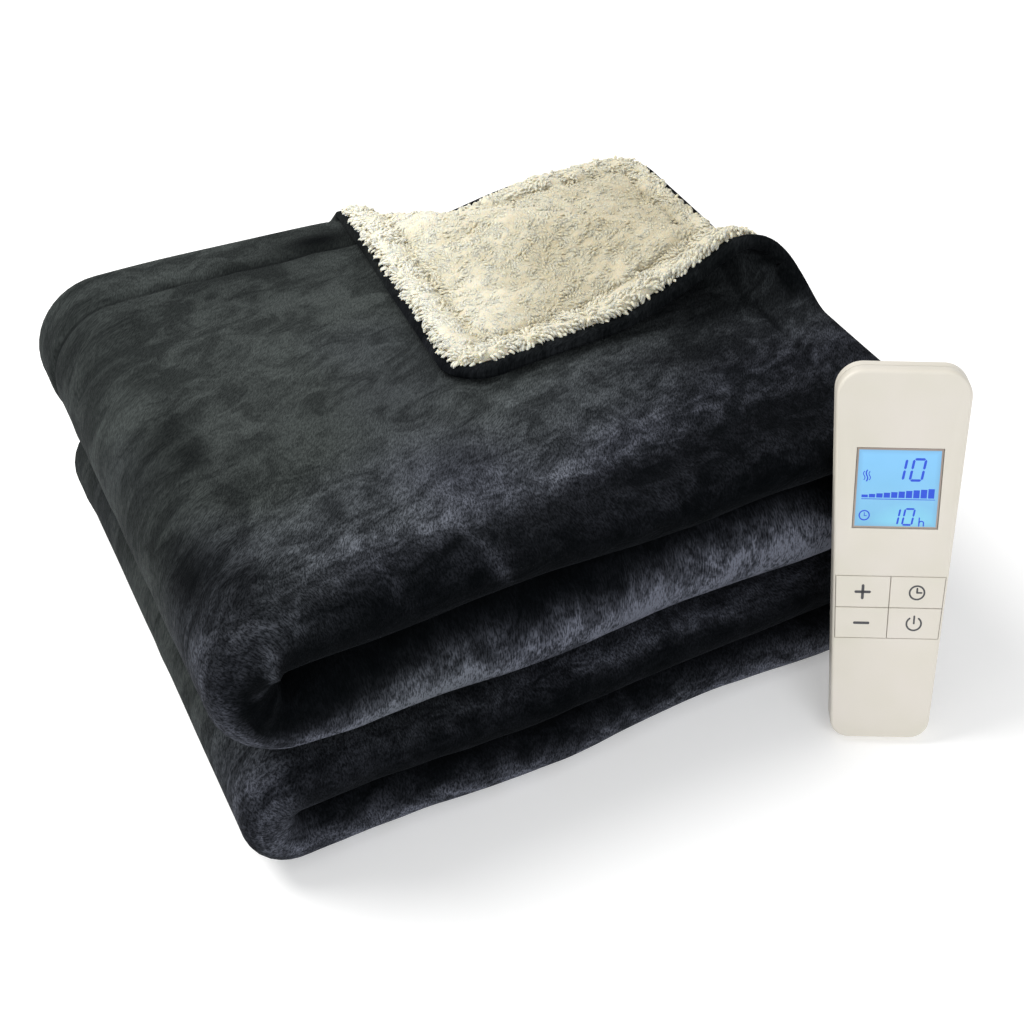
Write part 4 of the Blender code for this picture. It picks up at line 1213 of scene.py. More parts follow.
def front_hem(stations):
    """1 along the turned corner's edge that faces the front, falling to 0 off it."""
    along, across = stations.T
    return turned_over(stations) * smoothstep((across - along) / HEM_EASE + 0.5)


def inside_hem(stations):
    """The distance inside the rim, less what the wider front hem takes."""
    return cut_distance(stations) - (FLAP_HEM - HEM_WIDTH) * front_hem(stations)


def past_seam(stations):
    """How far inside the sewn line of the hem each station lies; the line wanders a little."""
    return cut_distance(stations) - HEM_SEAM + uneven(stations, SEAM_STRAY)


def hem_shape(stations):
    """How far the sewn line draws the cloth in, less the bulge of the hem outside it."""
    distance = np.clip(cut_distance(stations), 0, None)
    drawn = SEAM_DEPTH * np.exp(-((past_seam(stations) / SEAM_WIDTH) ** 2))
    hem = smoothstep(distance / HEM_RISE) * smoothstep((HEM_SEAM - distance) / HEM_FALL)
    return drawn - HEM_BULGE * hem


def bead(distance, swell):
    """The two faces of the rolled rim, as offsets out and in, from its outline inwards."""
    half = (FLANNEL_FACE + HEM_TURN) / 2 + swell
    middle = (FLANNEL_FACE - HEM_TURN) / 2
    height = np.sqrt(np.maximum(half**2 - np.maximum(half - distance, 0) ** 2, 0))
    return middle + height, middle - height


def finely_sewn(stations):
    """Where the flannel's front hem ends on the turned corner, and its sewn line on top."""
    distance = cut_distance(stations)
    hem = (front_hem(stations) > JUST_BARED) & (distance < FLAP_HEM + PAST_HEM)
    seam = (np.abs(distance - HEM_SEAM) < BESIDE_SEAM) & (stations[:, 1] < SEAM_END)
    return hem | (seam & (fold_frame(stations)[1] < -SEAM_OFF_FOLD))


def build_flannel(finish):
    """The flannel, with its rolled hem, sewn line, creases and the lie of its nap."""
    stations, triangles = flat_cut(FLANNEL_SPACING, 0.0, RIM_INSETS, FINE_HEM, finely_sewn)
    points = folded(stations)
    normals = vertex_normals(points, triangles)
    distance = np.clip(cut_distance(stations), 0, None)
    swell = FLAP_HEM_SWELL * front_hem(stations)
    outer, inner = bead(distance, swell * (1 - smoothstep((distance - SWELL_FROM) / SWELL_FADE)))
    start, fade = HEM_BACK
    back = smoothstep((inside_hem(stations) - HEM_WIDTH * start) / (HEM_WIDTH * fade))
    inner = inner * (1 - back) + PANEL_GAP / 2 * back
    outer = outer - hem_shape(stations) - strokes(stations, CREASES, CREASE_ENDS)
    outer += uneven(stations, FLANNEL_LUMPS) * smoothstep(distance / LUMPS_RISE)
    outer = np.maximum(outer, inner + LEAST_CLOTH * smoothstep(distance / LEAST_RISE))
    faces = (normals, triangles, outer, inner)
    cloth = closed_sheet("flannel_cloth", points, nap_lie(stations), *faces, finish)
    # The nap attribute holds the nap's tone with painted light and shade
    for name, values in (("nap", nap_tone_and_painted_light(stations)), ("cool", nap_coolness(stations))):
        point_attribute(cloth, name, "FLOAT", np.tile(values, 2))
    return cloth


# ------------------------------------------------------------------------- the sherpa cloth
def on_flap(stations):
    """The free corner of the top layer, over its fold."""
    return on_top_layer(stations) & (fold_frame(stations)[1] > FLAP_START)


def layer_out(stations):
    """How far beyond the corner's fold each station of the layer under it lies."""
    start = ACROSS_ENDS[5]
    share = (stations[:, 1] - start) / (ACROSS_ENDS[6] - start)
    x = RUNS[0].right - stations[:, 0]
    plan = np.column_stack([x, TOP_FORE + TOP_REACH * share]) - FOLD_FROM
    there = (stations[:, 0] <= STACK_LEGS[0].length) & (stations[:, 1] >= start)
    return np.where(there, plan @ FOLD_OUT, -1.0)


def under_flap(stations):
    """The layer under the top one, where the turned corner bares it, with a margin."""
    return layer_out(stations) > -LAYER_MARGIN


def pile_bared(stations):
    """How much each station of the sherpa shows, from 0 to 1."""
    flap = smoothstep(fold_frame(stations)[1] / FLAP_BARED) * on_top_layer(stations)
    return np.maximum(flap, smoothstep((layer_out(stations) + LAYER_MARGIN) / LAYER_FADE))


def pile_shows(stations):
    """Where the sherpa is cut finely, because it shows."""
    return pile_bared(stations) > JUST_BARED


def pile_relief(stations):
    """The roll, groove and knobs of the bared sherpa, over its plain pile."""
    inside = inside_hem(stations)
    roll = PILE_ROLL * np.exp(-(((inside - PILE_RIDGE) / PILE_RIDGE_WIDTH) ** 2))
    roll *= np.where(on_top_layer(stations), 1.0, LAYER_ROLL)
    beyond = inside - PILE_GROOVE - uneven(stations, GROOVE_STRAY)
    roll -= PILE_DRAW * np.exp(-((beyond / PILE_GROOVE_WIDTH) ** 2))
    return pile_bared(stations) * (roll + uneven(stations, PILE_KNOBS))


def pile_painted_light(points, inside):
    """The sherpa's painted light and shade: palest at the lit left and on the rolls, darker and tanner
    towards the right.
    """
    rightward = points[:, 0] * math.cos(CAMERA_YAW) + points[:, 1] * math.sin(CAMERA_YAW)
    paler = RIM_LIGHT_SHARE * np.exp(-np.clip(inside, 0, 1) / RIM_LIGHT_REACH)
    return smoothstep((rightward - SHADE_FROM) / SHADE_SPAN) * (1 - paler)


def build_sherpa(finish):
    """The sherpa, and what its tufts need: its face, stations and looks."""
    insets = [PILE_START + inset for inset in PILE_INSETS]
    stations, triangles = flat_cut(SHERPA_SPACING, PILE_START, insets, FINE_PILE, pile_shows)
    points = folded(stations)
    normals = vertex_normals(points, triangles)
    inside = inside_hem(stations) - PILE_START
    climb = np.clip(inside / PILE_RISE, 0, 1)
    relief = pile_relief(stations)
    pile = np.maximum(np.sqrt(climb * (2 - climb)) * (SHERPA_THICKNESS + relief), PILE_LEAST)
    outer = np.full(len(points), -PANEL_GAP / 2)
    faces = (normals, triangles, outer, outer - pile)
    sheet = closed_sheet("sherpa_cloth", points, stations, *faces, finish)
    # Painted shade for the sherpa's colour: height darkens its hollows, warm darkens it towards the right,
    # and tip, 0 on the ground, darkens it as at the tufts' roots
    looks = {
        "tip": np.zeros(len(points)),
        "height": 0.5 + relief / RELIEF_SPAN,
        "warm": pile_painted_light(points, inside),
    }
    for name, values in looks.items():
        point_attribute(sheet, name, "FLOAT", np.tile(np.clip(values, 0, 1), 2))
    return sheet, (points, normals, stations, triangles, outer - pile, looks)


def outward(points, stations):
    """Each station's direction out over the nearest rim, along the cloth."""
    step = RIM_STEP
    slope = [
        (cut_distance(stations + shift) - cut_distance(stations - shift)) / (2 * step)
        for shift in (np.array([step, 0.0]), np.array([0.0, step]))
    ]
    way = folded(stations - step * np.column_stack(slope)) - folded(stations)
    return way / np.maximum(np.linalg.norm(way, axis=1), 1e-9)[:, None]


# How the tufts stand, from the bared sherpa's rim inwards
ROLL_FROM, ROLL_WIDTH = 0.004, 0.012  # the roll, on which they stand up straighter
ROOT_SHARE, ROLL_ROOT_SHARE = 0.80, 0.06  # how far out in the pile they root, and more on the roll
LEANING, ROLL_LEANING = 0.8, 0.4  # how far they lean over, and less on the roll
EDGE_WIDTH = 0.0035  # the rim itself, where they grow and lie outwards
EDGE_GROW, EDGE_LAY = 1.2, 2.5
COVER_RISE, COVER_START = 0.0008, 0.4
PILE_SWIRL = (Lumps(2.6, 0.008, 21), Lumps(2.6, 0.030, 22))  # the way they lie, in radians


def pile_ground(name, surface, keep, rim_size):
    """The part of the sherpa's face that tufts grow from, with their directions and sizes."""
    points, normals, stations, triangles, face, looks = surface
    used = keep(stations)
    chosen = triangles[used[triangles].all(axis=1)][:, ::-1]
    kept, chosen = np.unique(chosen, return_inverse=True)
    inside = inside_hem(stations[kept]) - PILE_START
    roll = np.exp(-((np.clip(inside - ROLL_FROM, 0, 1) / ROLL_WIDTH) ** 2))
    root = face[kept] * (ROOT_SHARE + ROLL_ROOT_SHARE * roll)
    place = points[kept] + normals[kept] * root[:, None]
    out = -normals[kept]
    swirl = uneven(stations[kept], PILE_SWIRL)
    side = np.cross(out, np.array([1.0, 0.2, 0.0]))
    side /= np.linalg.norm(side, axis=1)[:, None]
    other = np.cross(out, side)
    lay = np.cos(swirl)[:, None] * side + np.sin(swirl)[:, None] * other
    edge = np.exp(-np.clip(inside, 0, 1) / EDGE_WIDTH)[:, None]
    rimward = outward(points[kept], stations[kept])
    ground = mesh_object(name, place, chosen.reshape(-1, 3))
    leaning = lay * (LEANING - ROLL_LEANING * roll)[:, None]
    point_attribute(ground, "grow", "FLOAT_VECTOR", out + leaning + rimward * edge * EDGE_GROW)
    point_attribute(ground, "lay", "FLOAT_VECTOR", lay + rimward * edge * EDGE_LAY)
    point_attribute(ground, "cover", "FLOAT", smoothstep(inside / COVER_RISE + COVER_START))
    point_attribute(ground, "size", "FLOAT", 1 + (rim_size - 1) * edge)
    # The painted shade of the hollows and towards the right passes on to the tufts
    for name in ("height", "warm"):
        point_attribute(ground, name, "FLOAT", np.clip(looks[name], 0, 1)[kept])
    return ground


# -------------------------------------------------------------------------- the controller
def handset_turn():
    """The controller's own right, upward and outward directions, as a rotation."""
    right = Vector((math.cos(HANDSET_FACING), math.sin(HANDSET_FACING), 0.0))
    ahead = Vector((math.sin(HANDSET_FACING), -math.cos(HANDSET_FACING), 0.0))
    upward = Vector((0, 0, math.cos(HANDSET_LEAN))) - ahead * math.sin(HANDSET_LEAN)
    outward = ahead * math.cos(HANDSET_LEAN) + Vector((0, 0, math.sin(HANDSET_LEAN)))
    return Matrix((right, upward, outward)).transposed()


def moved_in(corners, inset):
    """A convex outline's corners with every side moved in by `inset`."""
    found = []
    for n, corner in enumerate(corners):
        before = (Vector(corner) - Vector(corners[n - 1])).normalized()
        after = (Vector(corners[(n + 1) % len(corners)]) - Vector(corner)).normalized()
        inward = Vector((-before.y, before.x)) + Vector((-after.y, after.x))
        found.append(tuple(Vector(corner) + inward * inset / (1 + before.dot(after))))
    return found


def rounded(corners, radii, steps):
    """The outline with an arc in place of each corner."""
    found = []
    for n, (corner, radius) in enumerate(zip(map(Vector, corners), radii)):
        before = (Vector(corners[n - 1]) - corner).normalized()
        after = (Vector(corners[(n + 1) % len(corners)]) - corner).normalized()
        half = before.angle(after) / 2
        middle = corner + (before + after).normalized() * radius / math.sin(half)
        start = corner + before * radius / math.tan(half) - middle
        for step in range(steps + 1):
            sweep = Matrix.Rotation((math.pi - 2 * half) * step / steps, 2)
            found.append(tuple(middle + sweep @ start))
    return found


def handset_outline(inset, steps=CORNER_STEPS):
    foot = HANDSET_FOOT_WIDTH / 2
    top = HANDSET_TOP_WIDTH / 2
    corners = [(-foot, 0.0), (foot, 0.0), (top, HANDSET_LENGTH), (-top, HANDSET_LENGTH)]
    radii = [HANDSET_FOOT_RADIUS] * 2 + [HANDSET_TOP_RADIUS] * 2
    return rounded(moved_in(corners, inset), [radius - inset for radius in radii], steps)


def rings_solid(rings):
    """Vertices and faces of a closed solid through outlines, each an (outline, height)."""
    vertices = [(x, y, height) for outline, height in rings for x, y in outline]
    count = len(rings[0][0])
    faces = [tuple(reversed(range(count)))]
    for low in range(0, count * (len(rings) - 1), count):
        for n in range(count):
            after = (n + 1) % count
            faces.append((low + n, low + after, low + count + after, low + count + n))
    faces.append(tuple(range(len(vertices) - count, len(vertices))))
    return vertices, faces


def round_rings(outline_at, radius, low, high):
    """Rings up a wall from `low`, rounded over at `high` by `radius`."""
    rings = [(outline_at(0.0), low)]
    for step in range(EDGE_STEPS + 1):
        turned = math.pi / 2 * step / EDGE_STEPS
        inset = radius * (1 - math.cos(turned))
        rings.append((outline_at(inset), high - radius * (1 - math.sin(turned))))
    return rings


def handset_place():
    """Where the controller's own origin stands, from its back shell in the frame."""
    low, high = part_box("controller_back_shell")
    eased = BACK_BEVEL * BEVEL_BREAK
    rings = ((BACK_BEVEL, 0.0), (eased, eased), (0.0, BACK_BEVEL), (0.0, PARTING_HEIGHT))
    turn = handset_turn()
    corners = [
        turn @ Vector((*corner, height))
        for inset, height in rings
        for corner in handset_outline(inset, FRAME_CORNER_STEPS)
    ]
    spread = np.array(corners)
    return Vector((np.array(low) + np.array(high) - spread.min(axis=0) - spread.max(axis=0)) / 2)


def placed(name, parts, finish):
    """One object of parts given in the controller's own frame, set where it stands."""
    turn, place = handset_turn(), handset_place()
    vertices, faces = [], []
    for part_vertices, part_faces in parts:
        faces += [tuple(n + len(vertices) for n in face) for face in part_faces]
        vertices += [tuple(turn @ Vector(v) + place) for v in part_vertices]
    mesh = bpy.data.meshes.new(name)
    mesh.from_pydata(vertices, [], faces)
    mesh.update()
    mesh.materials.append(finish)
    return link(bpy.data.objects.new(name, mesh))


def finished(obj):
    """The object with its modifiers made real."""
    shown = obj.evaluated_get(bpy.context.evaluated_depsgraph_get())
    mesh = bpy.data.meshes.new_from_object(shown)
    obj.modifiers.clear()
    obj.data = mesh
    mesh.shade_smooth()
    mesh.set_sharp_from_angle(angle=SHARP_ANGLE)
    return obj


def softened(obj, width):
    bevel = obj.modifiers.new("soft edges", "BEVEL")
    bevel.width = width
    bevel.segments = 2
    bevel.limit_method = "ANGLE"
    bevel.angle_limit = SOFT_ANGLE
    return obj


def half_width(y):
    share = y / HANDSET_LENGTH
    return (HANDSET_FOOT_WIDTH + (HANDSET_TOP_WIDTH - HANDSET_FOOT_WIDTH) * share) / 2


def screen_corners():
    middle = HANDSET_LENGTH - SCREEN_FROM_TOP
    half = SCREEN_SIZE / 2
    return [(-half, middle - half), (half, middle - half), (half, middle + half), (-half, middle + half)]


def key_field():
    lower, upper = (HANDSET_LENGTH - KEY_ROWS_FROM_TOP[n] for n in (-1, 0))
    narrow = half_width(lower) - KEY_SIDE_WALL
    wide = half_width(upper) - KEY_SIDE_WALL
    return [(-narrow, lower), (narrow, lower), (wide, upper), (-wide, upper)]


def build_case(finish):
    """The two shells, the front one with its pockets for the screen and the keys."""
    back = round_rings(handset_outline, BACK_BEVEL, 0.0, PARTING_HEIGHT)
    back = [(outline, PARTING_HEIGHT - height) for outline, height in reversed(back)]
    case_back = finished(placed("case_back", [rings_solid(back)], finish))
    front = round_rings(handset_outline, FACE_BEVEL, PARTING_HEIGHT + CLEARANCE, HANDSET_THICKNESS)
    case_front = placed("case_front", [rings_solid(front)], finish)
    key_floor = HANDSET_THICKNESS + KEY_PROUD - KEY_THICKNESS - KEY_FLOOR_GAP
    pockets = (
        (screen_corners(), HANDSET_THICKNESS - SCREEN_SINK - SCREEN_THICKNESS - CLEARANCE),
        (moved_in(key_field(), -CLEARANCE / 2), key_floor),
    )
    cutters = []
    for corners, floor in pockets:
        rings = [(corners, floor), (corners, HANDSET_THICKNESS + CUTTER_PAST)]
        cutter = placed("pocket", [rings_solid(rings)], finish)
        boolean = case_front.modifiers.new("pocket", "BOOLEAN")
        boolean.operation = "DIFFERENCE"
        boolean.object = cutter
        cutters.append(cutter)
    finished(softened(case_front, RIM_BEVEL))
    for cutter in cutters:
        bpy.data.objects.remove(cutter, do_unlink=True)
    return case_back, case_front


def build_screen(finish):
    """The lit window, with a UV map over its face."""
    top = HANDSET_THICKNESS - SCREEN_SINK
    corners = moved_in(screen_corners(), CLEARANCE)
    rings = round_rings(lambda inset: moved_in(corners, inset), CLEARANCE, top - SCREEN_THICKNESS, top)
    screen = finished(placed("screen_lens", [rings_solid(rings)], finish))
    turn, place = handset_turn(), handset_place()
    middle = Vector((0, HANDSET_LENGTH - SCREEN_FROM_TOP, 0))
    layer = screen.data.uv_layers.new(name="screen")
    for loop in screen.data.loops:
        local = turn.transposed() @ (screen.data.vertices[loop.vertex_index].co - place) - middle
        layer.uv[loop.index].vector = (local.x / SCREEN_SIZE + 0.5, local.y / SCREEN_SIZE + 0.5)
    return screen


# ------------------------------------------------------------ the signs on screen and keys
SIGN_SINK = 0.00002
SIGN_RISE = 0.00005
STROKE_SIDES = 12


def plate(corners, level):
    """A thin printed plate on a face at `level`."""
    return rings_solid([(corners, level - SIGN_SINK), (corners, level + SIGN_RISE)])


def stroke(points, width, level):
    """A printed line of one width with round ends, as one plate."""
    points = [Vector(p) for p in points]
    left, right = [], []
    for n, point in enumerate(points):
        ahead = (points[min(n + 1, len(points) - 1)] - points[max(n - 1, 0)]).normalized()
        side = Vector((-ahead.y, ahead.x)) * width / 2
        left.append(point + side)
        right.append(point - side)

    def cap(end, inner):
        start = inner - end
        turns = [math.pi * step / STROKE_SIDES for step in range(1, STROKE_SIDES)]
        return [end + Matrix.Rotation(turned, 2) @ start for turned in turns]

    outline = right + cap(points[-1], right[-1]) + left[::-1] + cap(points[0], left[0])
    return plate([tuple(p) for p in outline], level)


def arc_points(centre, radius, start, end, steps=24):
    """Points round an arc, its angles in degrees from straight up, clockwise."""
    turns = [math.radians(start + (end - start) * n / steps) for n in range(steps + 1)]
    return [(centre[0] + radius * math.sin(t), centre[1] + radius * math.cos(t)) for t in turns]


def ring_plate(centre, radius, width, level, steps=40):
    """A closed printed ring."""
    vertices, faces = [], []
    for n in range(steps):
        turned = 2 * math.pi * n / steps
        for reach in (radius - width / 2, radius + width / 2):
            for height in (level - SIGN_SINK, level + SIGN_RISE):
                x, y = centre[0] + reach * math.cos(turned), centre[1] + reach * math.sin(turned)
                vertices.append((x, y, height))
    for n in range(steps):
        a, b = 4 * n, 4 * ((n + 1) % steps)
        faces += [(a + 3, b + 3, b + 1, a + 1), (a, b, b + 2, a + 2)]
        faces += [(a + 1, b + 1, b, a), (a + 2, b + 2, b + 3, a + 3)]
    return vertices, [face[::-1] for face in faces]


# The seven-segment figures: which of their bars are lit
FIGURE_BARS = {
    "0": ("top", "bottom", "upper left", "upper right", "lower left", "lower right"),
    "1": ("upper right", "lower right"),
}
FIGURE_SLANT = math.tan(math.radians(8))
FIGURE_GAP = 0.16  # between its bars, in bar widths


def figure(value, centre, width, height, bar, level):
    """A slanted seven-segment figure, as its lit bars."""
    half_w, half_h = (width - bar) / 2, (height - bar) / 2
    gap = bar * FIGURE_GAP
    point = bar / 2
    spans = {
        "top": ((-half_w, half_h), (half_w, half_h)),
        "bottom": ((-half_w, -half_h), (half_w, -half_h)),
        "upper left": ((-half_w, 0), (-half_w, half_h)),
        "upper right": ((half_w, 0), (half_w, half_h)),
        "lower left": ((-half_w, -half_h), (-half_w, 0)),
        "lower right": ((half_w, -half_h), (half_w, 0)),
    }
    parts = []
    for name in FIGURE_BARS[value]:
        start, end = (Vector(p) for p in spans[name])
        ahead = (end - start).normalized()
        side = Vector((ahead.y, -ahead.x)) * point
        start, end = start + ahead * gap, end - ahead * gap
        corners = [start, start + ahead * point + side, end - ahead * point + side]
        corners += [end, end - ahead * point - side, start + ahead * point - side]
        slanted = [(centre[0] + c.x + FIGURE_SLANT * c.y, centre[1] + c.y) for c in corners]
        parts.append(plate(slanted, level))
    return parts


MM = 0.001
SCREEN_MIDDLE = Vector((0, HANDSET_LENGTH - SCREEN_FROM_TOP))

# What the screen shows, in millimetres from its middle. Each figure is a value with its place,
# width, height and bar, and each wave has its place, half height and width.
FIGURES = (
    ("0", (9.6, 10.5), 7.3, 12.9, 1.3),
    ("1", (-0.1, 10.5), 7.3, 12.9, 1.3),
    ("0", (6.6, -15.6), 5.9, 9.9, 1.0),
    ("1", (-0.9, -15.6), 5.9, 9.9, 1.0),
)
BAR_COUNT = 10
BAR_SPAN = (-18.4, 19.6)
BAR_FOOT = -5.1
BAR_HEIGHTS = (1.5, 5.2)
BAR_FILL = 0.85
BAR_LINE = (-6.1, -5.75)  # the foot and top of the line under the bars
WAVES = ((-17.7, 2.3, 0.45), (-16.3, 2.9, 0.7), (-14.9, 2.3, 0.45))
WAVE_MIDDLE, WAVE_SWAY, WAVE_POINTS = 6.9, 0.45, 13
DIAL_MIDDLE, DIAL_RADIUS, DIAL_WIDTH = (-16.3, -15.1), 2.6, 0.65
DIAL_HANDS = ((-16.3, -13.7), (-16.3, -15.3), (-15.1, -15.3))
HAND_WIDTH = 0.4
HOUR_STEM = ((12.3, -16.1), (12.3, -20.5))  # the letter for hours, with its arch and foot
HOUR_ARCH, HOUR_REACH, HOUR_TURN = (13.5, -18.9), (1.15, 1.0), (-1.3, 1.57)
HOUR_FOOT = (14.65, -20.5)
HOUR_WIDTH, HOUR_POINTS = 0.65, 9


def on_screen(x, y):
    """A place on the screen, in millimetres from its middle."""
    return (SCREEN_MIDDLE.x + x * MM, SCREEN_MIDDLE.y + y * MM)


def screen_plate(corners, level):
    """A plate on the screen, from places in millimetres."""
    return plate([on_screen(*corner) for corner in corners], level)


def screen_line(points, width, level):
    """A line on the screen, from places and a width in millimetres."""
    return stroke([on_screen(*point) for point in points], width * MM, level)


def level_box(left, right, low, high):
    """The corners of an upright rectangle."""
    return [(left, low), (right, low), (right, high), (left, high)]


def screen_figures(level):
    """The heat setting, its ten bars, and the hours that are left."""
    parts = []
    for value, place, *sizes in FIGURES:
        parts += figure(value, on_screen(*place), *(size * MM for size in sizes), level)
    pitch = (BAR_SPAN[1] - BAR_SPAN[0]) / BAR_COUNT
    for n in range(BAR_COUNT):
        left = BAR_SPAN[0] + pitch * n
        high = BAR_FOOT + BAR_HEIGHTS[0] + (BAR_HEIGHTS[1] - BAR_HEIGHTS[0]) * n / (BAR_COUNT - 1)
        parts.append(screen_plate(level_box(left, left + pitch * BAR_FILL, BAR_FOOT, high), level))
    parts.append(screen_plate(level_box(*BAR_SPAN, *BAR_LINE), level))
    for place, reach, width in WAVES:
        wave = [
            (place - WAVE_SWAY * math.sin(math.pi * share), WAVE_MIDDLE + reach * share)
            for share in np.linspace(-1, 1, WAVE_POINTS)
        ]
        parts.append(screen_line(wave, width, level))
    parts.append(ring_plate(on_screen(*DIAL_MIDDLE), DIAL_RADIUS * MM, DIAL_WIDTH * MM, level))
    parts.append(screen_line(DIAL_HANDS[:2], HAND_WIDTH, level))
    parts.append(screen_line(DIAL_HANDS[1:], HAND_WIDTH, level))
    parts.append(screen_line(HOUR_STEM, HOUR_WIDTH, level))
    arch = [
        (HOUR_ARCH[0] + HOUR_REACH[0] * math.sin(turned), HOUR_ARCH[1] + HOUR_REACH[1] * math.cos(turned))
        for turned in np.linspace(*HOUR_TURN, HOUR_POINTS)
    ]
    parts.append(screen_line([*arch, HOUR_FOOT], HOUR_WIDTH, level))
    return parts


SIGN_REACH = 4.35 * MM
SIGN_WIDTH = 1.50 * MM
RING_RADIUS = 3.9 * MM
RING_WIDTH = 0.95 * MM
HAND_SHARE = 0.62  # a clock hand's length over the ring's radius
STEM_SHARES = (1.12, 0.05)  # where the power sign's stem starts and ends, likewise
POWER_GAP = 38.0  # degrees either side of straight up


def key_signs(level):
    """Each key's sign, as (key, parts)."""

    def bar(middle, reach):
        return stroke([middle - reach, middle + reach], SIGN_WIDTH, level)

    rows = [HANDSET_LENGTH - (KEY_ROWS_FROM_TOP[n] + KEY_ROWS_FROM_TOP[n + 1]) / 2 for n in (0, 1)]
    out = [(half_width(row) - KEY_SIDE_WALL) / 2 for row in rows]
    plus, minus = Vector((-out[0], rows[0])), Vector((-out[1], rows[1]))
    clock, power = Vector((out[0], rows[0])), Vector((out[1], rows[1]))
    reach = SIGN_REACH - SIGN_WIDTH / 2
    wide, tall = Vector((reach, 0)), Vector((0, reach))
    hand = RING_RADIUS * HAND_SHARE
    hands = [clock + Vector((0, hand)), clock, clock + Vector((hand, 0))]
    dial = [ring_plate(clock, RING_RADIUS, RING_WIDTH, level)]
    dial += [stroke(points, RING_WIDTH, level) for points in (hands[:2], hands[1:])]
    arc = arc_points(power, RING_RADIUS, POWER_GAP, 360 - POWER_GAP)
    stem = [power + Vector((0, RING_RADIUS * share)) for share in STEM_SHARES]
    return (
        ("warmer", [bar(plus, wide), bar(plus, tall)]),
        ("timer", dial),
        ("cooler", [bar(minus, wide)]),
        ("power", [stroke(arc, RING_WIDTH, level), stroke(stem, RING_WIDTH, level)]),
    )


def plastic_finish(settings, name, roughness):
    """Satin moulded plastic: warm white with a fine spark-eroded grain."""
    f = Finish(name, {"Specular IOR Level": 0.45, "Coat Roughness": 0.3})
    grain = f.noise(f.place("Object"), 5200.0, 2.0, 0.6)
    cloud = f.noise(f.place("Object"), 26.0, 2.0, 0.5)
    wear = f.noise(f.place("Object"), 300.0, 3.0, 0.6)
    shade = f.ramp(cloud, ((0.35, 0.0), (0.65, 1.0)))
    light = tuple(settings.case_colour)
    colour = f.mix(shade, light, tuple(c * t for c, t in zip(light, (0.955, 0.965, 0.93))))
    rough = roughness + wear * 0.12
    return f.feed(Base_Color=colour, Roughness=rough, Normal=f.bump(grain, 0.00004, 0.5))


LENS = {"Roughness": 0.22, "Coat Weight": 0.6, "Coat Roughness": 0.06, "Emission Strength": 0.62}
LAMP_PLACE, LAMP_NARROW = 0.62, (5.0, 9.0)  # where the lamp is over the width, and its fall-off
PANEL_EDGE = ((0.82, 0.0), (0.93, 1.0))  # over the half width, from the middle
# Painted shade: where the band of the pocket wall in shade is painted round the screen's border
POCKET_SHADE_EDGE = ((0.935, 0.0), (0.945, 1.0))
EDGE_BLUE = (0.10, 0.22, 0.36)
# the colour of that painted shade: the case plastic as it looks in the pocket's shade
POCKET_WALL_SHADE = (0.33, 0.27, 0.23)


def screen_finish(settings):
    """A backlit panel: sky blue, brighter at its foot and duller into its corners, with the pocket wall's
    shade painted round its border.
    """
    f = Finish("backlit screen", LENS)
    spot = f.node("ShaderNodeSeparateXYZ", inputs={"Vector": f.place("screen")})
    x, y = spot, Value(f.tree, spot.socket.node.outputs[1])
    side = (x - 0.5).math("ABSOLUTE") * 2.0
    rise = y.math("SMOOTH_MIN", 1.0, 0.1)
    beside = x - LAMP_PLACE
    foot = beside * beside * LAMP_NARROW[0] + y * y * LAMP_NARROW[1]
    glow = 1.0 - foot.math("MINIMUM", 1.0)
    cloud = f.noise(f.place("screen"), 3.0, 2.0)
    reach = side.math("MAXIMUM", (y - 0.5).math("ABSOLUTE") * 2.0)
    edge = f.ramp(reach, PANEL_EDGE)
    pocket_shade = f.ramp(reach, POCKET_SHADE_EDGE)
    risen = f.ramp(rise + cloud * 0.3 - 0.15, ((0.0, 0.0), (1.0, 1.0)))
    base = f.mix(risen, settings.low_blue, settings.high_blue)
    bright = f.mix(glow * 0.7, base, settings.glow_blue)
    colour = f.mix(edge * 0.35, bright, EDGE_BLUE)
    # The border is painted in the pocket wall's shade, and gives no light
    shown = f.mix(pocket_shade, colour, POCKET_WALL_SHADE)
    return f.feed(Base_Color=shown, Emission_Color=f.mix(pocket_shade, colour, (0.0, 0.0, 0.0)))


def print_finish(name, colour, glow=0.0):
    f = Finish(name, {"Roughness": 0.45, "Emission Strength": glow, "Emission Color": (*colour, 1.0)})
    speck = f.noise(f.place("Object"), 2600.0, 2.0)
    shade = f.mix(speck, tuple(c * 0.8 for c in colour), tuple(min(1.0, c * 1.2) for c in colour))
    return f.feed(Base_Color=shade)


# --------------------------------------------------------------------------- the settings
def colour_setting(name, description, default):
    return FloatVectorProperty(name=name, description=description, subtype="COLOR", default=default)


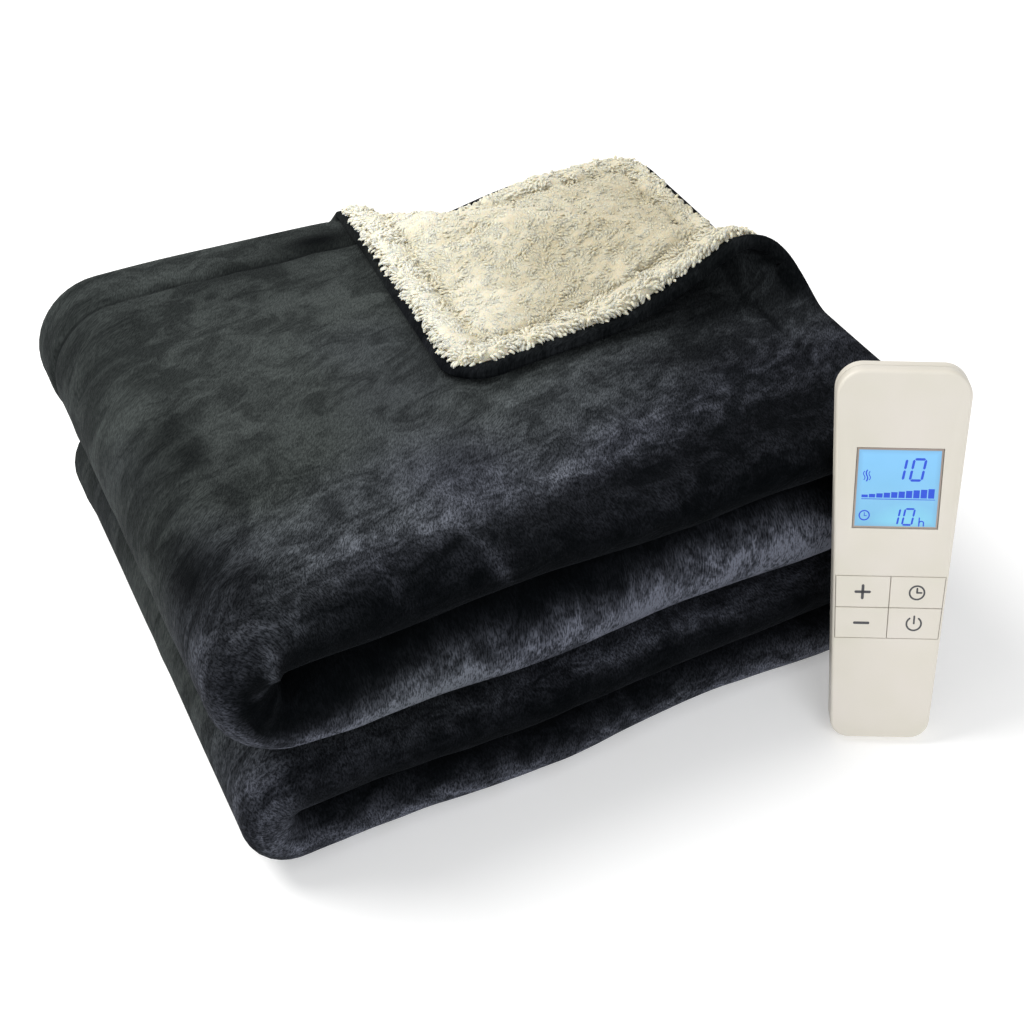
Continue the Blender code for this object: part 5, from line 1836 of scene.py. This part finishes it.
class ThrowSettings(bpy.types.PropertyGroup):
    """Sizes and colours of the two cloths."""

    flannel_dark: colour_setting(
        "Flannel dark", "Colour of the flannel between its nap's strands", (0.0010, 0.0015, 0.0019)
    )
    nap_green: colour_setting(
        "Nap, green grey", "Colour of the nap where it is brushed towards the light", (0.128, 0.146, 0.141)
    )
    nap_blue: colour_setting(
        "Nap, blue grey", "Colour of the nap in its bluer patches", (0.128, 0.137, 0.171)
    )
    flannel_sheen: FloatProperty(
        name="Flannel sheen", description="Strength of the nap's sheen", default=0.02, min=0, max=1
    )
    sherpa_cream: colour_setting(
        "Sherpa cream", "Colour of the curls' crowns at the left", (0.92, 0.87, 0.70)
    )
    # Painted shade: the colour of the curls' hollows in their shade, at the left
    sherpa_shaded_hollow: colour_setting(
        "Sherpa tan", "Colour in the curls' hollows at the left", (0.785, 0.715, 0.53)
    )
    # Painted shade: the crowns' colour in the painted shade towards the right and back
    sherpa_shaded_crown: colour_setting(
        "Sherpa, warmer cream", "Colour of the curls' crowns at the right and back", (0.63, 0.565, 0.41)
    )
    # Painted shade: the hollows' colour in both painted shades, at the right and back
    sherpa_shadiest_hollow: colour_setting(
        "Sherpa, warmer tan", "Colour in the curls' hollows at the right and back", (0.44, 0.38, 0.255)
    )
    tuft_length: FloatProperty(
        name="Tuft length", description="Length of a sherpa tuft", default=0.0047, unit="LENGTH"
    )
    tuft_radius: FloatProperty(
        name="Tuft radius", description="Widest radius of a tuft", default=0.00092, unit="LENGTH"
    )
    tuft_density: FloatProperty(
        name="Tuft density", description="Tufts for each square metre of sherpa", default=300000.0
    )
    tuft_seed: IntProperty(name="Tuft seed", description="Seed of the tufts' places", default=7)


class ControllerSettings(bpy.types.PropertyGroup):
    """Colours of the hand controller."""

    case_colour: colour_setting(
        "Case", "Colour of the moulded case", (0.70, 0.655, 0.59)
    )
    high_blue: colour_setting(
        "Screen, top", "Colour of the screen's upper part", (0.158, 0.375, 0.60)
    )
    low_blue: colour_setting(
        "Screen, foot", "Colour of the screen's lower part", (0.105, 0.30, 0.45)
    )
    glow_blue: colour_setting(
        "Screen, glow", "Colour over the screen's lamp", (0.145, 0.42, 0.54)
    )
    figure_blue: colour_setting(
        "Figures", "Colour of the screen's figures", (0.008, 0.055, 0.50)
    )
    sign_grey: colour_setting(
        "Signs", "Colour of the keys' printed signs", (0.055, 0.055, 0.062)
    )


class StudioSettings(bpy.types.PropertyGroup):
    """The floor and lights."""

    floor_colour: colour_setting(
        "Floor", "Colour of the floor", (0.90, 0.90, 0.90)
    )
    floor_glow: FloatProperty(
        name="Floor glow", description="How much the floor lights itself", default=0.25
    )
    key_power: FloatProperty(
        name="Key light", description="Power of the key light in watts", default=30.0
    )
    front_power: FloatProperty(
        name="Front light", description="Power of the front light in watts", default=12.0
    )
    world_light: FloatProperty(
        name="Surround", description="Strength of the white surround", default=0.52
    )


# --------------------------------------------------------------------------- the operators
class BLANKET_OT_flannel(bpy.types.Operator):
    """Make the flannel cloth with its hem and creases"""

    bl_idname = "blanket.flannel"
    bl_label = "Flannel cloth"

    def execute(self, context):
        settings = context.scene.throw_settings
        cloth = build_flannel(flannel_finish(settings))
        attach(cloth, BODY)
        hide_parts("flannel_panel")
        return {"FINISHED"}


class BLANKET_OT_sherpa(bpy.types.Operator):
    """Make the sherpa cloth and the tufts that show"""

    bl_idname = "blanket.sherpa"
    bl_label = "Sherpa cloth and tufts"

    def execute(self, context):
        settings = context.scene.throw_settings
        cloth, surface = build_sherpa(sherpa_finish(settings, "sherpa ground", GROUND_BUMP))
        tuft_finish = sherpa_finish(settings, "sherpa tufts", TUFT_BUMP)
        tufts = []
        for name, keep, rim_size, seed in (
            ("corner_tufts", on_flap, CORNER_RIM_SIZE, settings.tuft_seed),
            ("layer_tufts", under_flap, LAYER_RIM_SIZE, settings.tuft_seed + 1),
        ):
            ground = pile_ground(name + "_ground", surface, keep, rim_size)
            lock = tuft_shape(TUFT_SIDES, TUFT_RINGS, settings.tuft_radius, settings.tuft_length, TUFT_CURL)
            tufts.append(grow_tufts(name, ground, settings.tuft_density, seed, tuft_finish, lock))
        for piece in (cloth, *tufts):
            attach(piece, BODY)
        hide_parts("sherpa_panel")
        return {"FINISHED"}


class BLANKET_OT_controller(bpy.types.Operator):
    """Make the controller's shells, lit screen and marked keys"""

    bl_idname = "blanket.controller"
    bl_label = "Hand controller"

    def execute(self, context):
        settings = context.scene.controller_settings
        case = plastic_finish(settings, "case plastic", CASE_ROUGHNESS)
        case_back, case_front = build_case(case)
        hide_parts("controller_back_shell")
        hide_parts("controller_front_shell")
        screen = build_screen(screen_finish(settings))
        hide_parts("screen_window")
        face = HANDSET_THICKNESS - SCREEN_SINK
        ink = print_finish("screen ink", tuple(settings.figure_blue), FIGURE_GLOW)
        figures = placed("screen_figures", screen_figures(face), ink)
        slots = (
            (case_back, "shell"),
            (case_front, "shell"),
            (screen, "screen"),
            (figures, "screen"),
        )
        for piece, slot in slots:
            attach(piece, BODY)
        key_plastic = plastic_finish(settings, "key plastic", KEY_ROUGHNESS)
        ink = print_finish("key ink", tuple(settings.sign_grey))
        for key, parts in key_signs(HANDSET_THICKNESS + KEY_PROUD):
            sign = placed(f"sign_{key}", parts, ink)
            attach(sign, f"{key}_key")
            cap = bpy.data.objects[f"key_{key}"]
            cap.data.materials.clear()
            cap.data.materials.append(key_plastic)
        return {"FINISHED"}


class BLANKET_OT_studio(bpy.types.Operator):
    """Make the camera at the photograph's angle, the pale floor and the soft lights"""

    bl_idname = "blanket.studio"
    bl_label = "Camera, floor and lights"

    def execute(self, context):
        settings = context.scene.studio_settings
        build_camera()
        build_floor(settings)
        build_lights(settings)
        return {"FINISHED"}


# ------------------------------------------------------------------------------ the studio
CAMERA_PLACE = (-0.1171, -0.6150, 0.7403)  # over the folds' own corner
CAMERA_YAW = math.radians(-29.99)
CAMERA_DOWN = math.radians(42.26)
CAMERA_ROLL = math.radians(1.155)
CAMERA_LENS = 65.05
CAMERA_SHIFT = (-0.1454, 0.0826)
CAMERA_SENSOR = 36.0
FLOOR_SIZE = 12.0
LIGHT_SIZE = 1.2
LIGHT_AIM = (0, 0, 0.1)


def build_camera():
    data = bpy.data.cameras.new("photo camera")
    camera = link(bpy.data.objects.new("photo camera", data))
    back = Vector(
        (
            math.sin(CAMERA_YAW) * math.cos(CAMERA_DOWN),
            -math.cos(CAMERA_YAW) * math.cos(CAMERA_DOWN),
            math.sin(CAMERA_DOWN),
        )
    )
    right = (-back).cross(Vector((0, 0, 1))).normalized()
    up = right.cross(-back)
    rolled_right = right * math.cos(CAMERA_ROLL) + up * math.sin(CAMERA_ROLL)
    rolled_up = up * math.cos(CAMERA_ROLL) - right * math.sin(CAMERA_ROLL)
    turn = Matrix((rolled_right, rolled_up, back)).transposed().to_4x4()
    camera.matrix_world = Matrix.Translation(Vector(CAMERA_PLACE) - Vector(ORIGIN)) @ turn
    data.lens = CAMERA_LENS
    data.sensor_width = CAMERA_SENSOR
    data.shift_x, data.shift_y = CAMERA_SHIFT
    data.clip_start = 0.01
    bpy.context.scene.camera = camera


def build_floor(settings):
    half = FLOOR_SIZE / 2
    corners = [(-half, -half, 0), (half, -half, 0), (half, half, 0), (-half, half, 0)]
    glow = {"Emission Color": (1.0, 1.0, 1.0, 1.0), "Emission Strength": settings.floor_glow}
    f = Finish("pale floor", {"Specular IOR Level": 0.1, "Roughness": 0.9, **glow})
    f.shader.inputs["Base Color"].default_value = (*settings.floor_colour, 1.0)
    floor = mesh_object("floor", corners, [(0, 1, 2, 3)], f.material)


def area_light(name, place, power, colour):
    data = bpy.data.lights.new(name, "AREA")
    data.shape = "DISK"
    data.size = LIGHT_SIZE
    data.energy = power
    data.color = colour
    light = link(bpy.data.objects.new(name, data))
    light.location = place
    light.rotation_euler = (Vector(LIGHT_AIM) - Vector(place)).to_track_quat("-Z", "Y").to_euler()


def build_lights(settings):
    area_light("key", (-0.7, 0.8, 1.5), settings.key_power, (1.0, 0.99, 0.97))
    area_light("front", (-0.1, -1.7, 1.0), settings.front_power, (0.96, 0.98, 1.0))
    world = bpy.data.worlds.new("white surround")
    bpy.context.scene.world = world
    world.use_nodes = True
    background = world.node_tree.nodes["Background"]
    background.inputs["Color"].default_value = (1.0, 1.0, 1.0, 1.0)
    background.inputs["Strength"].default_value = settings.world_light
    bpy.context.scene.view_settings.view_transform = "Standard"


# ------------------------------------------------------------------------------- the panel
class BLANKET_PT_panel(bpy.types.Panel):
    """Lists the throw's steps and settings"""

    bl_idname = "BLANKET_PT_panel"
    bl_label = "Folded heated throw"
    bl_space_type = "VIEW_3D"
    bl_region_type = "UI"
    bl_category = "Throw"

    def draw(self, context):
        for step in STEPS:
            self.layout.operator(step.bl_idname)
        scene = context.scene
        for group in (scene.throw_settings, scene.controller_settings, scene.studio_settings):
            for key in group.__annotations__:
                self.layout.prop(group, key)


STEPS = (BLANKET_OT_flannel, BLANKET_OT_sherpa, BLANKET_OT_controller, BLANKET_OT_studio)
CLASSES = (ThrowSettings, ControllerSettings, StudioSettings, *STEPS, BLANKET_PT_panel)


def register():
    for made in CLASSES:
        bpy.utils.register_class(made)
    bpy.types.Scene.throw_settings = PointerProperty(type=ThrowSettings)
    bpy.types.Scene.controller_settings = PointerProperty(type=ControllerSettings)
    bpy.types.Scene.studio_settings = PointerProperty(type=StudioSettings)


def unregister():
    del bpy.types.Scene.throw_settings
    del bpy.types.Scene.studio_settings
    del bpy.types.Scene.controller_settings
    for made in reversed(CLASSES):
        bpy.utils.unregister_class(made)


def main():
    register()
    bpy.ops.blanket.flannel()
    bpy.ops.blanket.sherpa()
    bpy.ops.blanket.controller()
    bpy.ops.blanket.studio()


if __name__ == "__main__":
    main()
